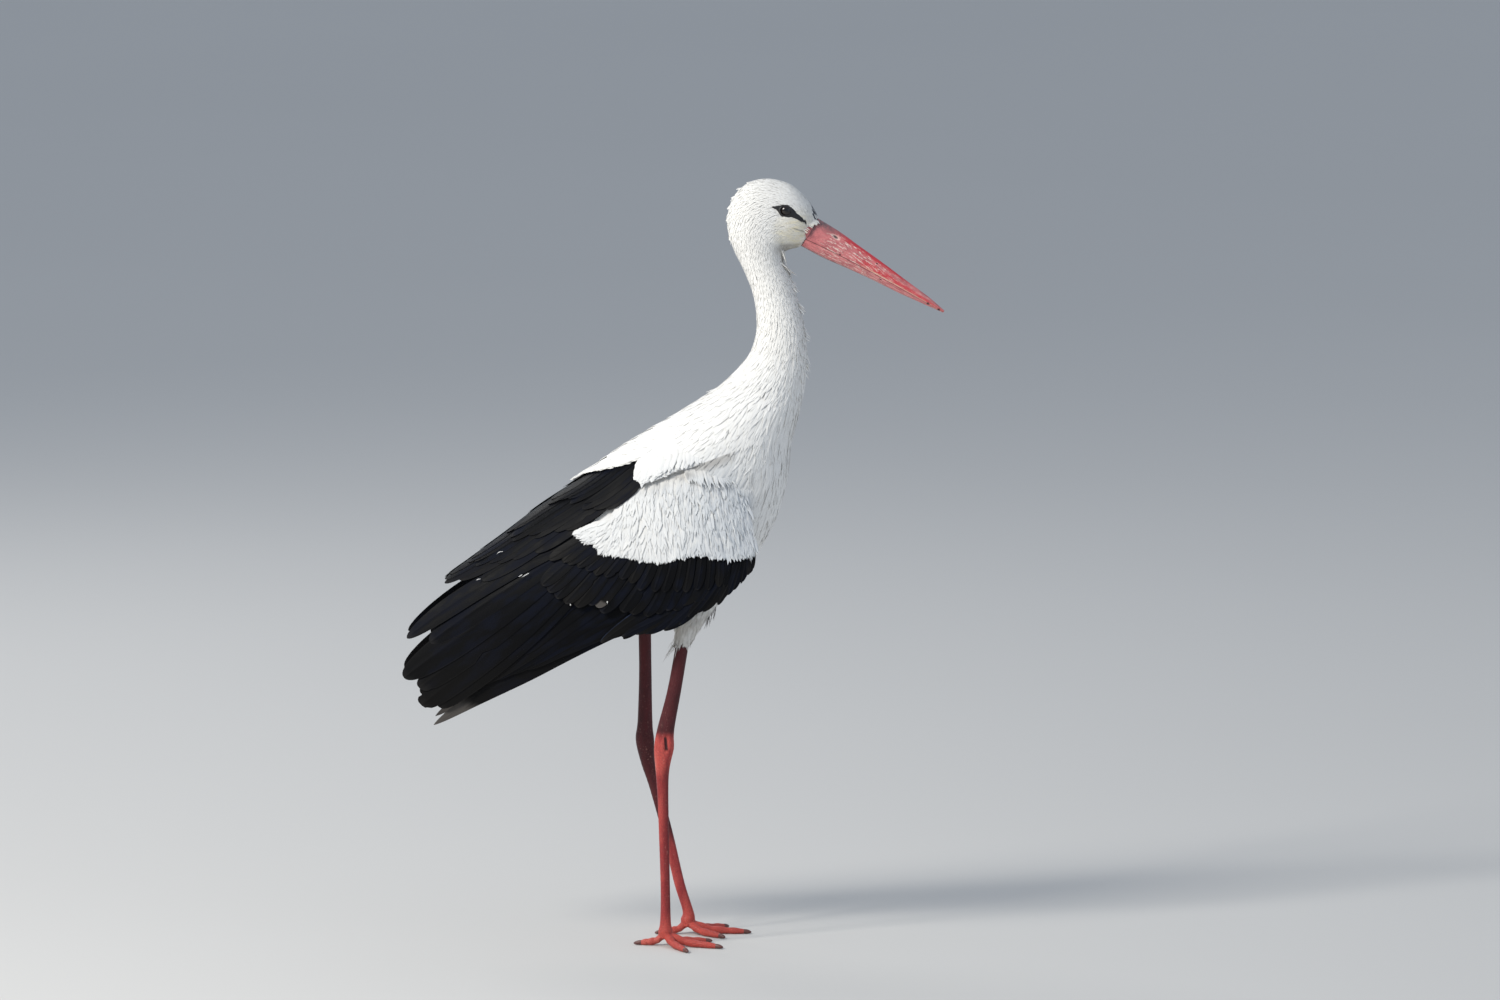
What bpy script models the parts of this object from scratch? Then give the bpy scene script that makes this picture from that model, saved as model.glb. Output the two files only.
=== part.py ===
"""White stork standing on both feet: a still, life-size model in metres, +Z up, facing +X.

The body is a loft through rings that lean with the neck and back. Each folded wing lies on a cloak,
a curved sheet round the body given by a place along the wing and an angle down from the back.
"""
import math

import bmesh
import bpy
import numpy as np

# Driving sizes
GAP = 0.0003                 # clearance that touching pieces keep
BILL_LENGTH = 0.187
BILL_SLOPE = math.radians(30.9)
BILL_BASE = np.array([0.1645, 0.8568])
NOSTRIL_AT = 0.027           # along the bill
NOSTRIL_SIZE = np.array([0.0095, 0.0040, 0.0016])
EYE_AT = np.array([0.1365, 0.8850])
EYE_RADIUS = 0.0072
EYE_SINK = 0.0040            # how deep the eyeball's centre sits under the cheek
LID_RADIUS = 0.0066
LID_THICKNESS = 0.0013
LID_SIDES = 14
KNUCKLE_HEIGHT = 0.0165
TOE_RADIUS = 0.0046
CLAW_LENGTH = 0.0085
HEAD_STEP = 0.012            # spacing of the rings
NECK_STEP = 0.018
TORSO_STEP = 0.028
AROUND_BODY = 24
AROUND_LEG = 10

# Back line and throat line of the body, and half its width
BODY = np.array([
    # back x, back z, throat x, throat z, half width
    [0.1750, 0.8744, 0.1535, 0.8384, 0.0150],   # feather edge at the bill
    [0.1620, 0.8960, 0.1465, 0.8370, 0.0225],   # forehead
    [0.1420, 0.9135, 0.1390, 0.8350, 0.0270],   # over the eye
    [0.1150, 0.9205, 0.1345, 0.8320, 0.0290],   # crown
    [0.0910, 0.9155, 0.1330, 0.8265, 0.0300],
    [0.0730, 0.8980, 0.1335, 0.8210, 0.0300],
    [0.0655, 0.8690, 0.1360, 0.8150, 0.0290],   # nape
    [0.0715, 0.8400, 0.1400, 0.8075, 0.0275],
    [0.0860, 0.8090, 0.1450, 0.7940, 0.0262],
    [0.0965, 0.7810, 0.1510, 0.7740, 0.0256],
    [0.1005, 0.7555, 0.1570, 0.7520, 0.0258],   # middle of the neck
    [0.0995, 0.7310, 0.1605, 0.7285, 0.0270],
    [0.0890, 0.7050, 0.1615, 0.7000, 0.0300],
    [0.0590, 0.6735, 0.1580, 0.6660, 0.0375],   # foot of the neck
    [0.0330, 0.6560, 0.1525, 0.6400, 0.0480],
    [0.0090, 0.6410, 0.1420, 0.6000, 0.0590],
    [-0.0150, 0.6250, 0.1370, 0.5550, 0.0670],  # shoulders and breast
    [-0.0510, 0.6010, 0.1200, 0.5020, 0.0710],
    [-0.0850, 0.5740, 0.0860, 0.4480, 0.0720],
    [-0.1180, 0.5390, 0.0390, 0.4150, 0.0680],  # belly
    [-0.1510, 0.5050, -0.0210, 0.3990, 0.0560],
    [-0.1770, 0.4690, -0.0740, 0.3890, 0.0430], # vent
    [-0.1880, 0.4390, -0.1240, 0.3780, 0.0330],
    [-0.1990, 0.4100, -0.1650, 0.3720, 0.0220], # root of the tail
])
HEAD_END = 7.6               # rows of the table where the nodes meet
NECK_END = 11.6
TORSO_END = len(BODY) - 1.0

# Bill, by share of its length: ridge, mouth line and lower edge over the axis, and half its width
BILL = np.array([
    [0.00, 0.0188, -0.0094, -0.0200, 0.0140],
    [0.16, 0.0184, -0.0064, -0.0186, 0.0132],
    [0.33, 0.0156, -0.0046, -0.0146, 0.0110],
    [0.50, 0.0129, -0.0034, -0.0112, 0.0088],
    [0.70, 0.0090, -0.0023, -0.0083, 0.0066],
    [0.87, 0.0058, -0.0016, -0.0046, 0.0044],
    [1.00, 0.0014, -0.0006, -0.0016, 0.0014],
])

# The wing's own frame: along runs from the shoulder to the wing tip, rise is square to it
WING_ORIGIN = np.array([0.081, 0.533])
WING_SLOPE = math.radians(38)
ALONG = np.array([-math.cos(WING_SLOPE), -math.sin(WING_SLOPE)])
RISE = np.array([-math.sin(WING_SLOPE), math.cos(WING_SLOPE)])
TAIL_ROOT = 0.3000           # along the wing's own frame
TAIL_TIP = 0.4080
TAIL_RISE = 0.0530
TAIL_CORE = (0.026, 0.019, -0.0040, 0.0060)    # length, half width, depth of its top and bottom
WING_METRE_PER_DEGREE = 0.0026   # about how far one degree reaches round the cloak
WING_MIDLINE = 0.0030        # the two wings keep this far from the middle plane
CLOAK = np.array([
    # along, rise of the back edge, rise of the lower edge, half width at the lower edge
    [-0.080, 0.116, -0.005, 0.016],
    [-0.030, 0.124, -0.036, 0.054],
    [0.020, 0.131, -0.060, 0.089],
    [0.070, 0.137, -0.0695, 0.101],
    [0.120, 0.140, -0.0645, 0.100],
    [0.190, 0.146, -0.044, 0.092],
    [0.260, 0.147, -0.023, 0.080],
    [0.330, 0.150, -0.006, 0.066],
    [0.400, 0.152, 0.010, 0.053],
    [0.470, 0.154, 0.022, 0.044],
])

# Feathers: share of the length from root to tip, and how much of the half width is reached there
VANE = np.array([[0.0, 0.5], [0.45, 1.0], [0.88, 0.82], [1.0, 0.22]])
SHORT_VANE = np.array([[0.0, 0.65], [0.72, 1.0], [1.0, 0.35]])
LOCK = np.array([[0.0, 0.7], [0.5, 1.0], [1.0, 0.12]])
VANE_THICKNESS = 0.0007
# Feathers on the breast: row of the body where a tier starts, how many, and degrees to each side
BREAST_TIERS = [(11.9, 5, 46), (12.9, 5, 50), (13.9, 6, 54), (14.9, 5, 48)]

# Lines on the wing: along in metres, and the angle down from the back in degrees
FOLD = [(-0.045, 60), (-0.025, 56.6), (0.020, 47.5), (0.080, 35)]        # lower edge of the shoulder
SCAPULAR_EDGE = [(0.080, 35), (0.120, 36.5), (0.176, 40.5)]
COVERT_EDGE = [(0.012, 86), (0.030, 84), (0.049, 79.6), (0.077, 72.8), (0.106, 67.4), (0.133, 61.4),
               (0.156, 53.4), (0.170, 47), (0.176, 41)]

# Legs: x, y, z, half depth and half width of each level cut, from the belly to the foot
RIGHT_THIGH = [(0.046, -0.038, 0.470, 0.040, 0.023), (0.032, -0.044, 0.425, 0.031, 0.021),
               (0.021, -0.048, 0.392, 0.018, 0.015), (0.0125, -0.048, 0.366, 0.0105, 0.0095)]
RIGHT_SHANK = [(0.0122, -0.048, 0.366, 0.0078, 0.0068), (0.0022, -0.048, 0.309, 0.0084, 0.0072),
               (-0.0080, -0.047, 0.262, 0.0104, 0.0086)]
RIGHT_TARSUS = [(-0.0080, -0.047, 0.262, 0.0104, 0.0086), (-0.0099, -0.047, 0.2395, 0.0121, 0.0102),
                (-0.0120, -0.047, 0.213, 0.0084, 0.0078), (-0.0115, -0.047, 0.184, 0.0067, 0.0061),
                (-0.0100, -0.047, 0.125, 0.0060, 0.0054), (-0.0086, -0.047, 0.065, 0.0057, 0.0053),
                (-0.0085, -0.047, 0.028, 0.0066, 0.0064)]
LEFT_THIGH = [(0.006, 0.038, 0.455, 0.036, 0.023), (-0.016, 0.043, 0.410, 0.026, 0.020),
              (-0.028, 0.046, 0.385, 0.015, 0.014), (-0.0340, 0.046, 0.366, 0.0098, 0.0092)]
LEFT_SHANK = [(-0.0338, 0.046, 0.366, 0.0076, 0.0068), (-0.0332, 0.046, 0.318, 0.0076, 0.0069),
              (-0.0336, 0.046, 0.260, 0.0090, 0.0080)]
LEFT_TARSUS = [(-0.0336, 0.046, 0.260, 0.0090, 0.0080), (-0.0336, 0.046, 0.236, 0.0113, 0.0098),
               (-0.0300, 0.046, 0.208, 0.0085, 0.0078), (-0.0207, 0.046, 0.176, 0.0071, 0.0063),
               (-0.0050, 0.046, 0.116, 0.0065, 0.0057), (0.0076, 0.045, 0.062, 0.0064, 0.0057),
               (0.0180, 0.045, 0.028, 0.0066, 0.0064)]
# Toes of each foot: name, direction on the floor in degrees from +X, and length
RIGHT_TOES = [("inner", 22, 0.052), ("middle", -22, 0.066), ("outer", -66, 0.058), ("hind", 172, 0.030)]
LEFT_TOES = [("inner", -44, 0.054), ("middle", -2, 0.068), ("outer", 42, 0.058), ("hind", 190, 0.032)]


def curve_through(table, t):
    """Points on the Catmull-Rom curve through a table's rows; t is 0 at the first row, 1 at the second."""
    table = np.asarray(table, float)
    t = np.clip(np.asarray(t, float), 0, len(table) - 1)
    i = np.minimum(t.astype(int), len(table) - 2)
    f = (t - i)[..., None]
    rows = np.vstack([2 * table[0] - table[1], table, 2 * table[-1] - table[-2]])
    a, b, c, d = (rows[i + k] for k in range(4))
    return b + 0.5 * f * (c - a + f * (2 * a - 5 * b + 4 * c - d + f * (3 * (b - c) + d - a)))


def unit(vector):
    return vector / np.linalg.norm(vector, axis=-1, keepdims=True)


# Meshes

def new_object(name, points, faces):
    mesh = bpy.data.meshes.new(name)
    mesh.from_pydata([tuple(p) for p in points], [], [tuple(int(i) for i in f) for f in faces])
    shaped = bmesh.new()
    shaped.from_mesh(mesh)
    bmesh.ops.triangulate(shaped, faces=[f for f in shaped.faces if len(f.verts) == 4])
    bmesh.ops.recalc_face_normals(shaped, faces=shaped.faces)
    if shaped.calc_volume(signed=True) < 0:
        bmesh.ops.reverse_faces(shaped, faces=shaped.faces)
    shaped.to_mesh(mesh)
    shaped.free()
    made = bpy.data.objects.new(name, mesh)
    bpy.context.scene.collection.objects.link(made)
    return made


def loft(name, rings):
    """A closed tube through rings of points, with a flat cap at each end."""
    rings = np.asarray(rings)
    count, around, _ = rings.shape
    index = np.arange(count * around).reshape(count, around)
    here, right = index[:-1], np.roll(index, -1, axis=1)[:-1]
    above, above_right = index[1:], np.roll(index, -1, axis=1)[1:]
    sides = np.stack([here, right, above_right, above], axis=-1).reshape(-1, 4)
    return new_object(name, rings.reshape(-1, 3), [*sides, index[0][::-1], index[-1]])


def plate(name, outer, inner):
    """A closed plate between two grids of points, split into the same triangles on both faces."""
    rows, columns, _ = outer.shape
    index = np.arange(rows * columns).reshape(rows, columns)
    a, b, c, d = index[:-1, :-1], index[:-1, 1:], index[1:, 1:], index[1:, :-1]
    face = np.stack([np.stack([a, b, c], -1), np.stack([a, c, d], -1)]).reshape(-1, 3)
    rim = np.concatenate([index[0], index[1:, -1], index[-1, -2::-1], index[-2:0:-1, 0]])
    after = np.roll(rim, -1)
    below = rows * columns
    wall = np.stack([rim, after, after + below, rim + below], -1)
    points = np.concatenate([outer.reshape(-1, 3), inner.reshape(-1, 3)])
    return new_object(name, points, [*face, *(face[:, ::-1] + below), *wall])


def box(name, centre, axes, size):
    """A block at a place, turned to three axes, with its full size along each."""
    corners = np.array([[x, y, z] for x in (-0.5, 0.5) for y in (-0.5, 0.5) for z in (-0.5, 0.5)])
    points = centre + (corners * size) @ np.asarray(axes)
    return new_object(name, points, [(0, 1, 3, 2), (4, 6, 7, 5), (0, 4, 5, 1), (2, 3, 7, 6),
                                     (0, 2, 6, 4), (1, 5, 7, 3)])


def ball(name, centre, radius, around=12, rings=8):
    shaped = bmesh.new()
    bmesh.ops.create_uvsphere(shaped, u_segments=around, v_segments=rings, radius=radius)
    mesh = bpy.data.meshes.new(name)
    shaped.to_mesh(mesh)
    shaped.free()
    mesh.vertices.foreach_set("co", (mesh_points(mesh) + centre).ravel())
    made = bpy.data.objects.new(name, mesh)
    bpy.context.scene.collection.objects.link(made)
    return made


def mesh_points(mesh):
    points = np.empty(len(mesh.vertices) * 3)
    mesh.vertices.foreach_get("co", points)
    return points.reshape(-1, 3)


def largest_shell(target):
    """Keeps the biggest closed surface of a mesh and drops loose scraps and sealed hollows."""
    shaped = bmesh.new()
    shaped.from_mesh(target.data)
    left, shells = set(shaped.verts), []
    while left:
        stack, shell = [left.pop()], []
        while stack:
            vert = stack.pop()
            shell.append(vert)
            linked = {e.other_vert(vert) for e in vert.link_edges} & left
            left -= linked
            stack.extend(linked)
        shells.append(shell)
    shells.sort(key=lambda shell: np.ptp([v.co[:] for v in shell], axis=0).sum())
    for shell in shells[:-1]:
        bmesh.ops.delete(shaped, geom=shell, context="VERTS")
    shaped.to_mesh(target.data)
    shaped.free()


def apply_boolean(target, operation, operands):
    """One Boolean of a mesh with a collection of closed meshes, applied; the operands are then removed."""
    group = bpy.data.collections.new(target.name + "_pieces")
    bpy.context.scene.collection.children.link(group)
    for operand in operands:
        bpy.context.scene.collection.objects.unlink(operand)
        group.objects.link(operand)
    boolean = target.modifiers.new("join", "BOOLEAN")
    boolean.operation = operation
    boolean.operand_type = "COLLECTION"
    boolean.collection = group
    boolean.solver = "EXACT"
    bpy.context.view_layer.update()
    graph = bpy.context.evaluated_depsgraph_get()
    joined = bpy.data.meshes.new_from_object(target.evaluated_get(graph))
    target.modifiers.remove(boolean)
    target.data = joined
    for operand in operands:
        bpy.data.objects.remove(operand)
    bpy.data.collections.remove(group)
    largest_shell(target)
    return target


def join(name, pieces):
    pieces[0].name = name
    return apply_boolean(pieces[0], "UNION", pieces[1:])


def cut(target, *cutters):
    return apply_boolean(target, "DIFFERENCE", cutters)


def mirrored_copy(source, name):
    """A copy on the other side of the middle plane."""
    mesh = source.data.copy()
    mesh.vertices.foreach_set("co", (mesh_points(mesh) * np.array([1, -1, 1])).ravel())
    mesh.flip_normals()
    made = bpy.data.objects.new(name, mesh)
    bpy.context.scene.collection.objects.link(made)
    return made


# Materials

def material(name, colour, roughness, metallic=0.0):
    made = bpy.data.materials.new(name)
    made.use_nodes = True
    shader = made.node_tree.nodes["Principled BSDF"]
    shader.inputs["Base Color"].default_value = (*colour, 1)
    shader.inputs["Roughness"].default_value = roughness
    shader.inputs["Metallic"].default_value = metallic
    return made


def finish(target, look, smooth_angle=40):
    target.data.materials.clear()
    target.data.materials.append(look)
    target.data.shade_smooth()
    target.data.set_sharp_from_angle(angle=math.radians(smooth_angle))
    return target


# Body

def body_point(t, angle, grow=0.0, shift=0.0):
    """Points of the body at rows t of the table and angles round it, 90 degrees being the back, grown
    outwards and shifted along the rings' own normals."""
    t, angle, grow = np.broadcast_arrays(*(np.asarray(v, float) for v in (t, angle, grow)))
    row = curve_through(BODY, t)
    back, throat, width = row[..., 0:2], row[..., 2:4], row[..., 4]
    middle, up = (back + throat) / 2, back - throat
    height = np.linalg.norm(up, axis=-1) / 2
    up = unit(up)
    normal = np.stack([-up[..., 1], up[..., 0]], axis=-1)
    y = (width + grow) * np.cos(angle)
    xz = middle + shift * normal + ((height + grow) * np.sin(angle))[..., None] * up
    return np.stack([xz[..., 0], y, xz[..., 1]], axis=-1)


def body_rows(start, end, step):
    """Rows between start and end, spaced about a step apart along the middle of the body."""
    t = np.linspace(start, end, 200)
    rows = curve_through(BODY, t)
    middle = (rows[:, 0:2] + rows[:, 2:4]) / 2
    run = np.concatenate([[0], np.cumsum(np.linalg.norm(np.diff(middle, axis=0), axis=1))])
    count = max(3, round(run[-1] / step) + 1)
    return np.interp(np.linspace(0, run[-1], count), run, t)


def body_loft(name, start, end, step, grow=0.0):
    """The body between two rows; its ends stop half a gap short, so that neighbours meet face to face."""
    rows = body_rows(start, end, step)
    angle = np.arange(AROUND_BODY) / AROUND_BODY * 2 * math.pi
    shifts = np.zeros(len(rows))
    shifts[0], shifts[-1] = GAP / 2 - grow, grow - GAP / 2
    return loft(name, [body_point(t, angle, grow, shift) for t, shift in zip(rows, shifts)])


def body_surface(row, degrees, depth):
    return body_point(row, np.radians(degrees), -depth)


def body_scale(row):
    return 0.036, float(curve_through(BODY, row)[4]) * math.radians(1)


def torso_shape(name, grow=0.0):
    return body_loft(name, NECK_END, TORSO_END, TORSO_STEP, grow)


def clear_of_torso(target):
    """Cuts a piece off where it comes within a gap of the torso."""
    return cut(target, torso_shape("cutter", 1.2 * GAP))


def build_torso(white):
    """The torso, with the long pointed feathers that hang down the breast."""
    locks = []
    for tier, (row, count, reach) in enumerate(BREAST_TIERS):
        for i in range(count):
            turn = -90 + reach * (2 * (i + 0.5) / count - 1)
            sway = 3 * math.sin(2.3 * i + tier)
            locks.append(vane(body_surface, body_scale, (row, turn), (row + 1.75, turn + sway), 0.0090,
                              (0.0035, -0.0024), profile=LOCK, ease=0.45, thick=0.0013))
    return finish(join("torso", [torso_shape("torso"), *locks]), white)


def cheek(side):
    """The point of the cheek over the eye's place, and the cheek's outward normal there."""
    rows, angles = np.meshgrid(np.linspace(0.8, 5, 85), np.linspace(-1.2, 1.2, 97), indexing="ij")
    grid = body_point(rows, angles)
    i, j = np.unravel_index(np.hypot(grid[..., 0] - EYE_AT[0], grid[..., 2] - EYE_AT[1]).argmin(), rows.shape)
    normal = unit(np.cross(grid[i + 1, j] - grid[i - 1, j], grid[i, j + 1] - grid[i, j - 1]))
    normal = normal * np.sign(normal[1])
    return grid[i, j] * (1, side, 1), normal * (1, side, 1)


def lid(name, centre, normal):
    """A low ring round the eye."""
    across = unit(np.cross(normal, (0, 0, 1)))
    up = np.cross(normal, across)
    turns = np.arange(LID_SIDES) / LID_SIDES * 2 * math.pi
    tube = np.arange(4) / 4 * 2 * math.pi
    out = np.cos(turns)[:, None, None] * across + np.sin(turns)[:, None, None] * up
    swell = LID_RADIUS + LID_THICKNESS * np.cos(tube)[None, :, None]
    points = centre + out * swell + normal * (LID_THICKNESS * np.sin(tube)[None, :, None])
    index = np.arange(LID_SIDES * 4).reshape(LID_SIDES, 4)
    corners = [index, np.roll(index, -1, 0), np.roll(np.roll(index, -1, 0), -1, 1), np.roll(index, -1, 1)]
    return new_object(name, points.reshape(-1, 3), np.stack(corners, -1).reshape(-1, 4))


def build_head(white, dark):
    head = body_loft("head", 0, HEAD_END, HEAD_STEP)
    lids, sockets, eyes = [], [], []
    for side, label in ((-1, "right"), (1, "left")):
        surface, normal = cheek(side)
        centre = surface - normal * EYE_SINK
        lids.append(lid("lid", surface + normal * 0.0004, normal))
        sockets.append(ball("socket", centre, EYE_RADIUS + GAP))
        eyes.append(ball("eye_" + label, centre, EYE_RADIUS))
    finish(cut(join("head", [head, *lids]), *sockets), white)
    for eye in eyes:
        finish(eye, dark)


# Bill

def bill_point(share, height, y):
    """Points beside the bill's axis: share of its length, height over the axis, and distance to the side."""
    along = np.array([math.cos(BILL_SLOPE), -math.sin(BILL_SLOPE)])
    up = np.array([math.sin(BILL_SLOPE), math.cos(BILL_SLOPE)])
    share, height, y = np.broadcast_arrays(share, height, y)
    xz = BILL_BASE + (share * BILL_LENGTH + GAP / 2)[..., None] * along + height[..., None] * up
    return np.stack([xz[..., 0], y, xz[..., 1]], axis=-1)


def build_bill(red):
    rows = curve_through(BILL, np.linspace(0, len(BILL) - 1, 11))[:, None, :]
    share, ridge, mouth, keel, width = (rows[..., k] for k in range(5))
    turn = np.linspace(0, math.pi, 11)[None, :]
    upper_mouth, lower_mouth = mouth + GAP / 2, mouth - GAP / 2
    above = upper_mouth + (ridge - upper_mouth) * np.sin(turn) ** 0.85
    below = lower_mouth - (lower_mouth - keel) * np.sin(turn) ** 0.8
    upper = bill_point(share, above, width * np.cos(turn))
    lower = bill_point(share, below, width * np.cos(turn))
    upper, lower = loft("bill_upper", upper), loft("bill_lower", lower)
    cosine, sine = math.cos(BILL_SLOPE), math.sin(BILL_SLOPE)
    axes = [(cosine, 0, -sine), (0, 1, 0), (sine, 0, cosine)]
    slits = [box("slit", bill_point(NOSTRIL_AT / BILL_LENGTH, 0.0098, side * 0.0105), axes, NOSTRIL_SIZE)
             for side in (-1, 1)]
    finish(cut(upper, *slits), red)
    finish(lower, red)


# Wings

def cloak(along, angle):
    """The cloak's points for places along the wing and angles in radians down from the back, right side."""
    along, angle = np.broadcast_arrays(np.asarray(along, float), np.asarray(angle, float))
    row = curve_through(CLOAK, np.interp(along, CLOAK[:, 0], np.arange(len(CLOAK))))
    top, low, half = row[..., 1], row[..., 2], row[..., 3]
    rise = low + (top - low) * np.cos(angle)
    y = -(WING_MIDLINE + half * np.abs(np.sin(angle)) ** 0.9)
    xz = WING_ORIGIN + along[..., None] * ALONG + rise[..., None] * RISE
    return np.stack([xz[..., 0], y, xz[..., 1]], axis=-1)


def on_wing(along, angle, depth):
    """Points at a depth under the cloak, measured square to it."""
    small_along, small_angle = 0.001, 0.004
    run = cloak(along + small_along, angle) - cloak(along - small_along, angle)
    turn = cloak(along, angle + small_angle) - cloak(along, np.maximum(angle - small_angle, 0))
    return cloak(along, angle) + np.asarray(depth)[..., None] * unit(np.cross(turn, run))


def wing_sheet(name, upper, lower, outer, inner, rows=8, columns=5, grow=0.0, dive=0.0):
    """A plate of the wing between two lines on it, from one depth under the cloak to another, grown on
    every side. Its outer face dives to a greater depth towards the front edge."""
    down = np.linspace(0, 1, columns)[None, :, None]
    lines = [curve_through(line, np.linspace(0, len(line) - 1, rows))[:, None, :] for line in (upper, lower)]
    grid = lines[0] * (1 - down) + lines[1] * down
    scaled = grid * (1, WING_METRE_PER_DEGREE)
    for edge, inside in ((np.s_[0], np.s_[1]), (np.s_[-1], np.s_[-2]), (np.s_[:, 0], np.s_[:, 1]),
                         (np.s_[:, -1], np.s_[:, -2])):
        grid[edge] += grow * unit(scaled[edge] - scaled[inside]) / (1, WING_METRE_PER_DEGREE)
    along, angle = grid[..., 0], np.radians(grid[..., 1])
    front = np.maximum(0, 1 - 3.5 * np.linspace(0, 1, rows))[:, None] ** 2
    outer = outer - grow + dive * front + 0 * along
    inner = inner + grow + 0 * along
    return plate(name, on_wing(along, angle, outer), on_wing(along, angle, inner))


def degree_length(along):
    """How far one degree reaches round the cloak at a place along the wing."""
    row = curve_through(CLOAK, np.interp(along, CLOAK[:, 0], np.arange(len(CLOAK))))
    return (row[..., 1] - row[..., 2] + row[..., 3]) / 2 * math.radians(1)


def vane(surface, scale, root, tip, half, depth, bow=0.0, profile=VANE, ease=1.0, tilt=0.0,
         thick=VANE_THICKNESS, columns=2, inner_limit=None):
    """One flat feather or lock on a surface, from its root to its tip.

    The surface takes two coordinates and a depth, scale gives the metres in one unit of each, depth is the
    depth at the root and at the tip, bow is how far the middle is pushed to the feather's upper side, tilt
    is how far its lower edge sinks, and inner_limit is the furthest reach of the first side at both ends.
    """
    share, swell = profile[:, 0, None], profile[:, 1, None]
    root, tip = np.array(root, float), np.array(tip, float)
    middle_scale = np.array(scale((root + tip)[0] / 2))
    chord = unit((tip - root) * middle_scale)
    across = np.array([-chord[1], chord[0]])
    shaft = root + (tip - root) * share - across / middle_scale * bow * 4 * share * (1 - share)
    row_scale = np.array([scale(u) for u in shaft[:, 0]])
    side = np.linspace(-1, 1, columns)[None, :]
    reach = half * swell * side
    if inner_limit is not None:
        reach = np.maximum(reach, -(inner_limit[0] + (inner_limit[1] - inner_limit[0]) * share))
    place = shaft[:, None, :] + reach[..., None] * (across / row_scale)[:, None, :]
    level = depth[0] + (depth[1] - depth[0]) * share ** ease - tilt * side * np.minimum(1, 3 * share)
    return plate("vane", surface(place[..., 0], place[..., 1], level),
                 surface(place[..., 0], place[..., 1], level + thick))


def wing_surface(along, degrees, depth):
    return on_wing(along, np.radians(np.maximum(degrees, 0.6)), depth)


def wing_scale(along):
    return 1.0, float(degree_length(np.array(along)))


def wing_vane(root, tip, half, depth, **options):
    return vane(wing_surface, wing_scale, root, tip, half, depth, **options)


def between(line, count, start=0.0, end=1.0):
    """Points spaced along a line of named points."""
    return curve_through(line, np.linspace(start, end, count) * (len(line) - 1))


def row_of_vanes(roots, tips, half, depth, **options):
    """Feathers side by side, the lowest first: each next one lies a little further out."""
    last = max(1, len(roots) - 1)
    made = []
    for i, (root, tip) in enumerate(zip(roots, tips)):
        lift = i / last
        levels = [deep + (shallow - deep) * lift for deep, shallow in depth]
        made.append(wing_vane(root, tip, half[0] + (half[1] - half[0]) * lift, levels, **options))
    return made


def moved(line, along, angle):
    return [(a + along, b + angle) for a, b in line]


def shoulder_core(name, grow=0.0):
    upper = [(-0.060, 6), (0.000, 5), (0.070, 4), (0.122, 3)]
    return wing_sheet(name, upper, FOLD, -0.002, 0.040, grow=grow, dive=0.008)


def coverts_core(name, grow=0.0):
    return wing_sheet(name, FOLD + SCAPULAR_EDGE[1:], COVERT_EDGE, 0.002, 0.029, 12, 6, grow, 0.014)


def scapulars_core(name, grow=0.0):
    upper = [(0.1225, 3), (0.160, 2.5), (0.200, 2.5), (0.214, 4)]
    lower = [(0.0805, 34.7), (0.115, 36), (0.150, 37.5), (0.182, 38)]
    return wing_sheet(name, upper, lower, 0.0036, 0.028, grow=grow)


def flight_core(name):
    upper = [(0.016, 84.4), (0.047, 78.4), (0.076, 71.6), (0.105, 66), (0.132, 59.6), (0.155, 51.6),
             (0.170, 44), (0.178, 39)]
    lower = [(0.032, 88.5), (0.066, 88.5), (0.100, 86), (0.135, 79), (0.165, 71), (0.188, 62), (0.203, 52),
             (0.212, 43)]
    return wing_sheet(name, upper, lower, 0.0042, 0.0215, 10, 3, dive=0.010)


def build_shoulder():
    shoulder = shoulder_core("wing_right_shoulder")
    roots = between(moved(FOLD, -0.012, -8), 8, 0.30, 1.0)
    tips = between(moved(FOLD, 0.010, 3), 8, 0.32, 1.0)
    vanes = row_of_vanes(roots[::-1], tips[::-1], (0.010, 0.010), ((0.001, 0.001), (-0.0026, -0.0026)),
                         profile=SHORT_VANE, ease=0.6, tilt=-0.0006)
    return clear_of_torso(join("wing_right_shoulder", [shoulder, *vanes]))


def build_coverts():
    """The white coverts, with a row of rounded tips over the roots of the black feathers."""
    count = 14
    edge = between(COVERT_EDGE, count, 0.10, 1.0)
    lean = np.linspace(0, 1, count)[:, None]
    roots = edge + (1 - lean) * (-0.014, -9) + lean * (-0.026, 0.5)
    tips = edge + (1 - lean) * (0.003, 2.6) + lean * (0.010, -0.3)
    vanes = row_of_vanes(roots, tips, (0.0094, 0.0084), ((0.0042, 0.0042), (0.0016, 0.0016)),
                         profile=SHORT_VANE, ease=0.5, tilt=0.0007)
    coverts = join("wing_right_coverts", [coverts_core("core"), *vanes])
    return cut(clear_of_torso(coverts), shoulder_core("cutter", GAP))


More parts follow.
